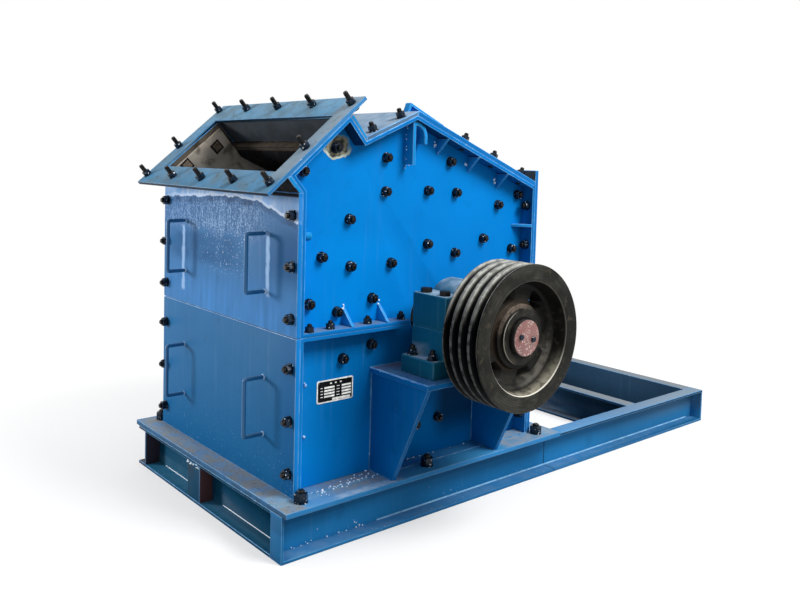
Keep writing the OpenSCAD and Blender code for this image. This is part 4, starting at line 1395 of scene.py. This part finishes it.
def beads(name, lines, coat="weld_enamel", width=None):
    """Weld beads along lines, their width in millimetres."""
    welds = bpy.context.scene.crusher_welds
    grown(name, lines_mesh(name, lines), "Weld bead", {
        "Bead": or_usual(width, welds.bead), "Ripple": welds.ripple,
        "Seed": welds.seed, "Finish": finish(coat),
    })


def spatter(name, runs, drop, coat="spatter"):
    """Drops of weld metal scattered about lines of (start, end, number, stray), in
    millimetres."""
    chance = random.Random(SPATTER_SEED)
    points = []
    for start, end, number, stray in runs:
        start, end, stray = Vector(start), Vector(end), Vector(stray)
        for _ in range(number):
            loose = Vector([chance.uniform(-1, 1) * part for part in stray])
            points.append(at(*(start.lerp(end, chance.random()) + loose)))
    mesh = bpy.data.meshes.new(name)
    mesh.from_pydata(points, [], [])
    grown(name, mesh, "Weld spatter", {
        "Drop": drop * MM, "Seed": SPATTER_SEED, "Finish": finish(coat),
    })


# ---- operators ----

class CRUSHER_OT_base_frame(bpy.types.Operator):
    """Channels, cross beams, post and foot plate with worn edges"""
    bl_idname = "crusher.base_frame"
    bl_label = "Base frame"

    def execute(self, context):
        for name, coat in (
            ("rail_near", "base_enamel"), ("rail_far", "far_rail_enamel"),
            ("end_beam_feed", "feed_beam_enamel"), ("end_beam_post", "feed_beam_enamel"),
            ("end_beam_motor", "far_rail_enamel"), ("cross_beam_body", "far_rail_enamel"),
            ("cross_beam_mid", "far_rail_enamel"),
        ):
            plated(name, coat, "base_edge")
        plated("foot_plate", "foot_plate_enamel", "dusty_edge")
        return {"FINISHED"}


class CRUSHER_OT_housing(bpy.types.Operator):
    """Side walls with their bolting flanges, and the rear plates"""
    bl_idname = "crusher.housing"
    bl_label = "Housing walls"

    def execute(self, context):
        for name in ("upper_wall_near", "upper_wall_far"):
            plated(name, "housing_enamel", "housing_edge")
        for name in ("lower_wall_near", "lower_wall_far"):
            plated(name, "lower_housing_enamel", "housing_edge")
        for name in ("rear_plate_lower", "rear_plate_upper"):
            plated(name, "rear_enamel", "housing_edge",
                   other="dark_plate", way=(-1, 0, 0))
        return {"FINISHED"}


class CRUSHER_OT_doors(bpy.types.Operator):
    """The two front doors"""
    bl_idname = "crusher.doors"
    bl_label = "Doors"

    def execute(self, context):
        for name, coat in (("door_lower", "lower_door_enamel"),
                           ("door_upper", "door_enamel")):
            plated(name, coat, "door_edge",
                   other="dark_plate", way=(1, 0, 0))
        return {"FINISHED"}


class CRUSHER_OT_roof(bpy.types.Operator):
    """Feed inlet, roof plates, gussets, lugs and brackets"""
    bl_idname = "crusher.roof"
    bl_label = "Inlet and roof"

    def execute(self, context):
        plated("inlet_flange", "inlet_enamel", "dusty_edge")
        # The lip plate's face under the mouth takes black scale, partly rust and partly
        # painted shade.
        plated("inlet_lip_plate", "trim_enamel", "housing_edge",
               other="black_scale", way=-INLET_UP)
        plated("inlet_back_plate", "trim_enamel", "liner_plate",
               other="dark_plate", way=-INLET_UP)
        plated("main_roof", "rear_enamel", "housing_edge",
               other="dark_plate", way=-ROOF_OUT)
        plated("valley_roof", "roof_enamel", "housing_edge",
               other="dark_plate", way=-VALLEY_OUT)
        for name in ("gussets_near", "gussets_far", "lifting_lugs", "peak_brackets"):
            plated(name, "trim_enamel", "housing_edge")
        return {"FINISHED"}


class CRUSHER_OT_handles(bpy.types.Operator):
    """Bent bar handles on the doors"""
    bl_idname = "crusher.handles"
    bl_label = "Door handles"

    def execute(self, context):
        sizes = context.scene.crusher_handles
        for node_name in ("handles_lower", "handles_upper"):
            least, most = low(node_name), high(node_name)
            half = sizes.bar / MM / 2
            grip = least.x + half
            lines = []
            for y in (least.y + half, most.y - half):
                lines.append([
                    (DOOR_FACE + 1, y, least.z + half), (grip, y, least.z + half),
                    (grip, y, most.z - half), (DOOR_FACE + 1, y, most.z - half),
                ])
            made = grown(node_name + "_bars", lines_mesh(node_name, lines), "Bent bar", {
                "Bar": sizes.bar, "Bend": sizes.bend, "Finish": finish("handle_enamel"),
            })
            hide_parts(node_name)
            rings = []
            for line in lines:
                for _, y, z in (line[0], line[-1]):
                    turns = [math.radians(45 * k) for k in range(9)]
                    rings.append([(DOOR_FACE - 1, y + half * math.cos(t),
                                   z + half * math.sin(t)) for t in turns])
            beads(node_name + "_welds", rings, coat="door_weld", width=8)
        return {"FINISHED"}


class CRUSHER_OT_data_plate(bpy.types.Operator):
    """Data plate with a generic pattern of bars and four rivets"""
    bl_idname = "crusher.data_plate"
    bl_label = "Data plate"

    def execute(self, context):
        least, most = low("data_plate"), high("data_plate")
        wide, tall = most.x - least.x, most.z - least.z
        work = bmesh.new()

        def place(u, v, w):
            return at(least.x + u, most.y - w, most.z - v)

        def field(gap, corner):
            return rounded([
                (gap, gap, corner), (wide - gap, gap, corner),
                (wide - gap, tall - gap, corner), (gap, tall - gap, corner),
            ])

        thick = most.y - least.y
        prism(work, field(0, 7), 0, thick - 0.3, place)
        plate = solid("data_plate", work, "data_plate_cream")
        piece("data_plate_sheet", plate, FIXED, ("data_plate",))
        work = bmesh.new()
        prism(work, field(4, 5), 0.1, thick, place)
        black = solid("data_plate_field", work, "data_plate_black")
        piece("data_plate_field", black, FIXED)
        work = bmesh.new()

        def bar(u0, v0, u1, v1):
            corners = [(u0, v0), (u1, v0), (u1, v1), (u0, v1)]
            prism(work, [(wide * u, tall * v) for u, v in corners],
                  thick - 0.2, thick + 0.25, place)

        for u in (0.38, 0.51, 0.65):
            bar(u - 0.025, 0.14, u + 0.025, 0.2)
        for row in range(4):
            v = 0.3 + 0.13 * row
            bar(0.2, v, 0.48, v + 0.08)
            bar(0.68, v, 0.94, v + 0.08)
            bar(0.1, v + 0.02, 0.16, v + 0.05)
            bar(0.54, v + 0.02, 0.62, v + 0.05)
        bar(0.42, 0.83, 0.92, 0.93)
        mesh = solid("data_plate_marks", work, "data_plate_cream")
        piece("data_plate_marks", mesh, FIXED)
        spots = [
            ((x, least.y + 0.1, z), (0, -1, 0))
            for x in (least.x + 6, most.x - 6) for z in (least.z + 6, most.z - 6)
        ]
        heads("data_plate_rivets", spots, 5, 1.5, sides=12, coat="turned_steel")
        return {"FINISHED"}


class CRUSHER_OT_inside(bpy.types.Operator):
    """Liners, breaker plate and the rotor's discs, pins and hammers"""
    bl_idname = "crusher.inside"
    bl_label = "Inside"

    def execute(self, context):
        for name in ("side_liner_near", "side_liner_far"):
            plated(name, "liner_plate", "liner_plate")
        plated("breaker_plate", "breaker_scale", "black_scale")
        for name in ("rotor_discs", "hammers"):
            plated(name, "rotor_steel", "rotor_steel", body=TURNING)
        plated("hammer_pins", "turned_steel", "turned_steel",
               body=TURNING)
        return {"FINISHED"}


class CRUSHER_OT_bearings(bpy.types.Operator):
    """Pedestals and cast bearing housings"""
    bl_idname = "crusher.bearings"
    bl_label = "Bearings and pedestals"

    def execute(self, context):
        cast = context.scene.crusher_edges.cast
        for name in ("pedestal_near", "pedestal_far"):
            plated(name, "pedestal_enamel", "pedestal_edge")
        for name in ("bearing_base_near", "bearing_base_far",
                     "bearing_cap_near", "bearing_cap_far", "bearing_cover_far"):
            plated(name, "bearing_enamel", "bearing_edge",
                   width=cast, segments=3)
        return {"FINISHED"}


class CRUSHER_OT_shaft(bpy.types.Operator):
    """Shaft and the cap on its end with two screws"""
    bl_idname = "crusher.shaft"
    bl_label = "Shaft"

    def execute(self, context):
        plated("shaft", "turned_steel", "turned_steel", body=TURNING)
        plated("shaft_end_cap", "cap_primer", "cap_primer", body=TURNING)
        y = low("shaft_end_cap").y
        spots = [((AXIS.x + side * 27, y - 0.5, AXIS.z - side * 6), (0, -1, 0))
                 for side in (-1, 1)]
        heads("cap_screws", spots, 15, 6, body=TURNING)
        return {"FINISHED"}


class CRUSHER_OT_pulley(bpy.types.Operator):
    """Grooved pulley with six windows in its web, and its hub"""
    bl_idname = "crusher.pulley"
    bl_label = "Pulley"

    def execute(self, context):
        wheel = carrier_of("wheel", self.turned_wheel())
        windows = carrier_of("windows", self.windows(context.scene.crusher_pulley))
        cut = wheel.modifiers.new("Windows", "BOOLEAN")
        cut.operation = "DIFFERENCE"
        cut.solver = "EXACT"
        cut.object = windows
        rounding = wheel.modifiers.new("Window edges", "BEVEL")
        rounding.limit_method = "ANGLE"
        rounding.angle_limit = math.radians(40)
        rounding.width = 2.5 * MM
        rounding.segments = 3
        mesh = applied(wheel)
        bpy.data.objects.remove(windows)
        mesh.set_sharp_from_angle(angle=math.radians(50))
        piece("pulley_finished", mesh, TURNING, ("pulley",))
        return {"FINISHED"}

    def turned_wheel(self):
        """The wheel's section as (radius, depth below the face, rounding), turned round
        the rotor's axis."""
        outer = high("pulley").x - AXIS.x
        wide = GROOVES * GROOVE_PITCH
        back = high("pulley").y - PULLEY_FACE
        section = [
            (BORE, 26, 1), (84, 26, 2), (84, 38, 3), (HUB, 38, 4), (HUB, WEB_FRONT, 9),
            (RIM_INSIDE, WEB_FRONT, 16), (170, 0, 3), (outer, 0, 2.5),
        ]
        floor = outer - GROOVE_DEPTH
        for i in range(GROOVES):
            middle = (i + 0.5) * GROOVE_PITCH
            section += [(outer, middle - GROOVE_TOP / 2, 1.2),
                        (floor, middle - GROOVE_FLOOR / 2, 3),
                        (floor, middle + GROOVE_FLOOR / 2, 3),
                        (outer, middle + GROOVE_TOP / 2, 1.2)]
        section += [
            (outer, wide, 2), (outer - 37, wide, 3), (RIM_INSIDE, WEB_BACK, 14),
            (HUB, WEB_BACK, 8), (HUB, back, 3), (BORE, back, 1),
        ]
        outline = rounded(section)
        work = bmesh.new()
        turns = 120
        rows = []
        for k in range(turns):
            angle = 2 * math.pi * k / turns
            rows.append([work.verts.new(at(
                AXIS.x + r * math.cos(angle), PULLEY_FACE + deep,
                AXIS.z + r * math.sin(angle))) for r, deep in outline])
        for k in range(turns):
            this, following = rows[k], rows[(k + 1) % turns]
            for i in range(len(outline)):
                j = (i + 1) % len(outline)
                work.faces.new((this[i], this[j], following[j], following[i]))
        for item in work.faces:
            item.smooth = True
        return solid("pulley", work, "oiled_cast_iron")

    def windows(self, sizes):
        """Ring sectors with rounded corners that narrow towards the back of the web, as
        the pattern's draft leaves them."""
        inner, outer, corner = (value / MM for value in (
            sizes.inner, sizes.outer, sizes.corner))
        middle = 0.5 * (inner + outer)
        half = 0.5 * sizes.angle * middle
        outline = []
        for side, r, start in ((1, outer - corner, 0), (-1, outer - corner, 90),
                               (-1, inner + corner, 180), (1, inner + corner, 270)):
            for k in range(7):
                turn = math.radians(start + 15 * k)
                outline.append((side * (half - corner) + corner * math.cos(turn),
                                r + corner * math.sin(turn)))
        work = bmesh.new()
        for n in range(sizes.count):
            centre = -sizes.phase - 2 * math.pi * n / sizes.count

            def place(u, v, w):
                draft = 1 - 0.68 * (w - PULLEY_FACE - WEB_FRONT) / (WEB_BACK - WEB_FRONT)
                angle = centre + draft * u / middle
                r = middle + draft * (v - middle)
                return at(AXIS.x + r * math.cos(angle), w, AXIS.z + r * math.sin(angle))

            prism(work, outline, PULLEY_FACE + WEB_FRONT - 16,
                  PULLEY_FACE + WEB_BACK + 4, place)
        return solid("pulley_windows", work, "oiled_cast_iron")


class CRUSHER_OT_fasteners(bpy.types.Operator):
    """Nuts, bolt ends and bolt heads of the whole machine"""
    bl_idname = "crusher.fasteners"
    bl_label = "Nuts and bolts"

    def execute(self, context):
        out, ahead, up = (0, -1, 0), (-1, 0, 0), (0, 0, 1)
        wall = [((x, WALL_FACE, z), out) for x, z in (
            (233, 1178), (116, 1107), (429, 1153), (707, 1145), (428, 1046),
            (609, 1048), (737, 1041), (946, 997), (1047, 1033), (288, 962),
            (187, 851), (295, 817), (457, 818), (611, 872), (739, 836), (874, 880),
            (1021, 837), (145, 713), (383, 711), (248, 680), (274, 533), (384, 564),
            (680, 277), (578, 270), (982, 533), (872, 564),
        )]
        nuts("wall_nuts", both_sides(wall), 26)
        seats = reversed_spots(both_sides(wall), WALL_T + LINER_T - 1)
        # Black squares under the liners' bolt heads are painted shade of the gaps round
        # them.
        heads("liner_bolt_seats", seats, 40, 2.5, sides=4, coat="black_scale", roll=0)
        heads("liner_bolt_heads", seats, 28, 6, sides=4, coat="liner_bolt_steel", roll=0)
        door = [((DOOR_FACE, FLANGE_BOLT_Y, z), ahead)
                for z in (225, 380, 535, 680, 832, 980)]
        nuts("door_nuts", both_sides(door), 27)
        middle = [((x, y, SEAM + FLANGE_T), up) for x, y in (
            (124, 64), (204, 72), (347, 75), (484, FLANGE_BOLT_Y),
            (776, FLANGE_BOLT_Y), (909, FLANGE_BOLT_Y), (1060, FLANGE_BOLT_Y))]
        nuts("middle_flange_nuts", both_sides(middle), 25, width=24, height=14,
             washer=28, thread=15)
        rear = [((WALL_END - FLANGE_T, FLANGE_BOLT_Y, z), ahead)
                for z in (993, 851, 709, 535, 380, 225)]
        nuts("rear_flange_nuts", both_sides(rear), 26)
        heads("rear_plate_heads",
              reversed_spots(both_sides(rear), REAR_FACE - WALL_END + FLANGE_T), 27, 12)
        roof = [((x, FLANGE_BOLT_Y, ROOF_PEAK.z - (ROOF_PEAK.x - x)
                  * math.tan(VALLEY_SLOPE)), VALLEY_OUT) for x in (354, 464)]
        roof += [((x, FLANGE_BOLT_Y, ROOF_PEAK.z - (x - ROOF_PEAK.x)
                   * math.tan(ROOF_SLOPE)), ROOF_OUT) for x in (745, 887, 1033)]
        nuts("roof_nuts", both_sides(roof), 30, width=25, thread=16)
        heads("roof_bolt_ends", reversed_spots(both_sides(roof[2:]), 24), 15, 9)
        start = Vector((-35, 0, 1045))
        studs = [(s, y) for s in (40, 408) for y in (82, 289.5, 497, 704.5, 912)]
        studs += [(198, 86), (198, 912)]
        inlet = []
        for s, y in studs:
            spot = start + s * INLET_UP
            inlet.append(((spot.x, y, spot.z), INLET_OUT))
        nuts("inlet_stud_nuts", inlet, 44, width=25, height=15, washer=28, thread=16)
        heads("inlet_stud_heads", reversed_spots(inlet, 12), 25, 11)
        anchor = [((x, 24, FOOT_TOP), up) for x in (79, 567, 1106)]
        nuts("anchor_nuts", both_sides(anchor), 37, width=36, height=26, washer=42,
             thread=24)
        foot = [((x, BEARING_Y + dy, BEARING_FOOT_TOP), up)
                for x in (458, 798) for dy in (-46, 46)]
        nuts("bearing_foot_nuts", both_sides(foot), 31, width=26)
        cap = [((x, BEARING_Y + dy, BEARING_TOP), up)
               for x in (506, 750) for dy in (-42, 42)]
        heads("bearing_cap_bolts", both_sides(cap), 32, 15, coat="rusty_bolt")
        return {"FINISHED"}


class CRUSHER_OT_welds(bpy.types.Operator):
    """Weld beads at the walls' feet and pedestals, spatter at the feet, gussets, lug, rail
    and post, and a tab on the wall
    """
    bl_idname = "crusher.welds"
    bl_label = "Weld beads"

    def execute(self, context):
        left, right = PEDESTAL_X
        plates = (left + 8, left + 24, right - 24, right - 8)
        foot = [
            [(WALL_START, FLANGE_EDGE, FOOT_TOP), (plates[0], FLANGE_EDGE, FOOT_TOP)],
            [(plates[1], FLANGE_EDGE, FOOT_TOP), (plates[2], FLANGE_EDGE, FOOT_TOP)],
            [(plates[3], FLANGE_EDGE, FOOT_TOP), (WALL_END, FLANGE_EDGE, FOOT_TOP)],
        ]
        beads("wall_foot_welds", mirrored_lines(foot), coat="base_weld",
              width=7)
        stand = []
        for x in plates:
            stand.append([(x, -11, FOOT_TOP), (x, WALL_FACE, FOOT_TOP)])
            stand.append([(x, WALL_FACE, FOOT_TOP), (x, WALL_FACE, PEDESTAL_TOP - 16)])
        stand.append([(left, WALL_FACE, PEDESTAL_TOP), (right, WALL_FACE, PEDESTAL_TOP)])
        beads("pedestal_welds", mirrored_lines(stand), coat="base_weld",
              width=6)
        front, rim = low("pedestal_near").y, PEDESTAL_TOP - 1
        beads("pedestal_top_welds", mirrored_lines([
            [(left + 3, WALL_FACE - 4, rim), (left + 3, front + 4, rim),
             (left + 30, front + 3, rim)]]), coat="weld_enamel", width=7)
        tab = self.tab((141, WALL_FACE, 916), 11, 3)
        piece("wall_tab", tab, FIXED)
        self.drops()
        return {"FINISHED"}

    def tab(self, middle, half, thick):
        """A half-round tab that lies raised on the wall."""
        work = bmesh.new()
        outline = rounded([(-half, -half, 2), (half, -half, half), (half, half, half),
                           (-half, half, 2)], steps=6)

        def place(u, v, w):
            return at(middle[0] + u, middle[1] - w, middle[2] + v)

        prism(work, outline, -1, thick, place)
        mark_edges(work, math.radians(35))
        mesh = solid("wall_tab", work, "trim_enamel", "housing_edge")
        return bevelled("wall_tab", mesh, 1.5 * MM)

    def drops(self):
        """Spatter beside the welds, and the bright blobs that end them."""
        top, face = FOOT_TOP + 1, WALL_FACE - 1
        spatter("foot_spatter", [
            ((WALL_START, FLANGE_EDGE + 3, top), (402, FLANGE_EDGE + 3, top), 60,
             (0, 6, 0)),
            ((430, face, top), (830, face, top), 30, (0, 5, 0)),
            ((110, 20, top), (400, 92, top), 26, (0, 22, 0)),
        ], 5)
        spatter("lug_spatter", [
            ((504, 96, 1120), (504, 90, 1262), 22, (1, 6, 0)),
            ((522, face, 1130), (522, face, 1250), 10, (4, 0, 0)),
        ], 5)
        spatter("weld_blobs", [
            ((139, face, 470), (139, face, 470), 3, (3, 0, 6)),
            ((139, face, 316), (139, face, 316), 3, (3, 0, 6)),
            ((135, face, 712), (135, face, 712), 1, (0, 0, 0)),
        ], 8, "door_weld")
        tips = [(636 + 146 * i, face, 1200 - 59 * i) for i in range(3)]
        tips += [(x, face, SEAM + 66) for x in (275, 413)]
        spatter("gusset_blobs", [(tip, tip, 5, (4, 2, 9)) for tip in tips], 7)
        spatter("rail_spatter", [
            ((60, 52, 13), (330, 52, 13), 16, (0, 1, 4)),
            ((60, 52, 22), (620, 52, 60), 7, (0, 0.5, 20)),
        ], 4)
        spatter("post_spatter", [
            ((0, 500, 128), (0, 584, 128), 14, (1, 0, 6)),
        ], 6)


class CRUSHER_OT_stage(bpy.types.Operator):
    """Floor, studio light and camera"""
    bl_idname = "crusher.stage"
    bl_label = "Stage"

    def execute(self, context):
        scene = context.scene
        sizes = scene.crusher_stage
        scene.view_settings.view_transform = "Standard"
        self.floor()
        self.world(scene, sizes)
        self.lamp("Key softbox", (1.5, -4.1, 5.0), (0.1, 0.0, 0.75), 2.4, sizes.key)
        self.lamp("Side softbox", (-3.7, 3.5, 1.4), (-0.5, 0.0, 0.85), 1.0, sizes.side)
        self.camera(scene, sizes)
        return {"FINISHED"}

    def seen(self, tree):
        """A share that is 1 for what is seen straight, mirrored or through glass, and 0
        for what only lights the rest."""
        rays = node(tree, "ShaderNodeLightPath", out=None).outputs
        seen = node(tree, MATH, {0: rays["Is Camera Ray"], 1: rays["Is Glossy Ray"]},
                    operation="MAXIMUM")
        return node(tree, MATH, {0: seen, 1: rays["Is Transmission Ray"]},
                    operation="MAXIMUM")

    def floor(self):
        """A plain pale floor that turns pure white away from the machine."""
        work = bmesh.new()
        bmesh.ops.create_circle(work, cap_ends=True, segments=64, radius=14.0)
        mesh = bpy.data.meshes.new("floor")
        work.to_mesh(mesh)
        work.free()
        material = bpy.data.materials.new("pale_floor")
        material.use_nodes = True
        tree = material.node_tree
        tree.nodes.clear()
        seen = self.seen(tree)
        place = node(tree, "ShaderNodeTexCoord", out="Object")
        away = node(tree, VECTOR, {0: place}, "Value", operation="LENGTH")
        fade = node(tree, RANGE, {0: away, 1: 1.2, 2: 3.4, 3: 0.45, 4: 1.0},
                    interpolation_type="SMOOTHSTEP")
        grain = node(tree, NOISE, {"Vector": place, "Scale": 90.0, "Detail": 4.0})
        tone = node(tree, RANGE, {0: grain, 3: 0.88, 4: 0.94})
        pale = coats(tree, (0.3, 0.3, 0.3, 1.0), [(tone, seen)])
        matt = node(tree, "ShaderNodeBsdfDiffuse", {"Color": pale})
        white = node(tree, "ShaderNodeEmission", {"Color": (1, 1, 1, 1), "Strength": 1.0})
        amount = product(tree, seen, fade)
        mixed = node(tree, "ShaderNodeMixShader", {0: amount, 1: matt, 2: white})
        node(tree, "ShaderNodeOutputMaterial", {0: mixed}, None)
        mesh.materials.append(material)
        floor = bpy.data.objects.new("floor", mesh)
        floor.location.z = -0.0005
        bpy.context.scene.collection.objects.link(floor)

    def world(self, scene, sizes):
        """A white studio as seen and mirrored, dimmer as a source of light."""
        world = bpy.data.worlds.new("studio")
        world.use_nodes = True
        tree = world.node_tree
        tree.nodes.clear()
        seen = self.seen(tree)
        place = node(tree, "ShaderNodeTexCoord", out="Generated")
        height = node(tree, SPLIT, {0: place}, 2)
        strength = node(tree, RANGE, {
            0: height, 1: 0.0, 2: 0.9, 3: sizes.horizon, 4: sizes.fill})
        strength = coats(tree, strength, [(1.0, seen)], kind="FLOAT")
        sky = node(tree, "ShaderNodeBackground", {
            "Color": (1, 1, 1, 1), "Strength": strength})
        node(tree, "ShaderNodeOutputWorld", {0: sky}, None)
        scene.world = world

    def lamp(self, name, where, target, width, power):
        """A square softbox that looks at a target."""
        light = bpy.data.lights.new(name, "AREA")
        light.size = width
        light.energy = power
        holder = bpy.data.objects.new(name, light)
        holder.location = where
        aim = Vector(target) - Vector(where)
        holder.rotation_euler = aim.to_track_quat("-Z", "Y").to_euler()
        bpy.context.scene.collection.objects.link(holder)

    def camera(self, scene, sizes):
        """The camera before the pulley's side at the feed end."""
        yaw, pitch, roll = sizes.yaw, sizes.pitch, sizes.roll
        ahead = Vector((
            math.sin(yaw) * math.cos(pitch), math.cos(yaw) * math.cos(pitch),
            -math.sin(pitch),
        ))
        level = ahead.cross(Vector((0, 0, 1))).normalized()
        upright = level.cross(ahead)
        right = math.cos(roll) * level + math.sin(roll) * upright
        up = -math.sin(roll) * level + math.cos(roll) * upright
        lens = bpy.data.cameras.new("camera")
        lens.lens = sizes.lens
        lens.sensor_width = 36.0
        lens.shift_y = sizes.rise
        lens.clip_start = 0.05
        camera = bpy.data.objects.new("camera", lens)
        turn = Matrix((right, up, -ahead)).transposed().to_4x4()
        camera.matrix_world = Matrix.Translation(Vector(sizes.eye)) @ turn
        scene.collection.objects.link(camera)
        scene.camera = camera


class CRUSHER_PT_panel(bpy.types.Panel):
    """Lists the crusher's pieces and sizes in the sidebar."""
    bl_idname = "CRUSHER_PT_panel"
    bl_label = "Hammer crusher"
    bl_space_type = "VIEW_3D"
    bl_region_type = "UI"
    bl_category = "Crusher"

    def draw(self, context):
        for operator in OPERATORS:
            self.layout.operator(operator.bl_idname)
        for name, group in GROUPS.items():
            box = self.layout.box()
            box.label(text=group.__doc__)
            for prop in group.__annotations__:
                box.prop(getattr(context.scene, name), prop)


GROUPS = {
    "crusher_colours": CrusherColours,
    "crusher_edges": CrusherEdges,
    "crusher_bolts": CrusherBolts,
    "crusher_welds": CrusherWelds,
    "crusher_handles": CrusherHandles,
    "crusher_pulley": CrusherPulley,
    "crusher_stage": CrusherStage,
}
OPERATORS = (
    CRUSHER_OT_base_frame, CRUSHER_OT_housing, CRUSHER_OT_doors, CRUSHER_OT_roof,
    CRUSHER_OT_handles, CRUSHER_OT_data_plate, CRUSHER_OT_inside, CRUSHER_OT_bearings,
    CRUSHER_OT_shaft, CRUSHER_OT_pulley, CRUSHER_OT_fasteners, CRUSHER_OT_welds,
    CRUSHER_OT_stage,
)


def register():
    for name, group in GROUPS.items():
        bpy.utils.register_class(group)
        setattr(bpy.types.Scene, name, PointerProperty(type=group))
    for item in OPERATORS + (CRUSHER_PT_panel,):
        bpy.utils.register_class(item)


def unregister():
    for item in reversed(OPERATORS + (CRUSHER_PT_panel,)):
        bpy.utils.unregister_class(item)
    for name, group in reversed(list(GROUPS.items())):
        delattr(bpy.types.Scene, name)
        bpy.utils.unregister_class(group)


def main():
    """Makes every piece and the stage."""
    register()
    for operator in OPERATORS:
        family, call = operator.bl_idname.split(".")
        result = getattr(getattr(bpy.ops, family), call)()
        if result != {"FINISHED"}:
            raise RuntimeError(operator.bl_label + " wasn't finished")


if __name__ == "__main__":
    main()
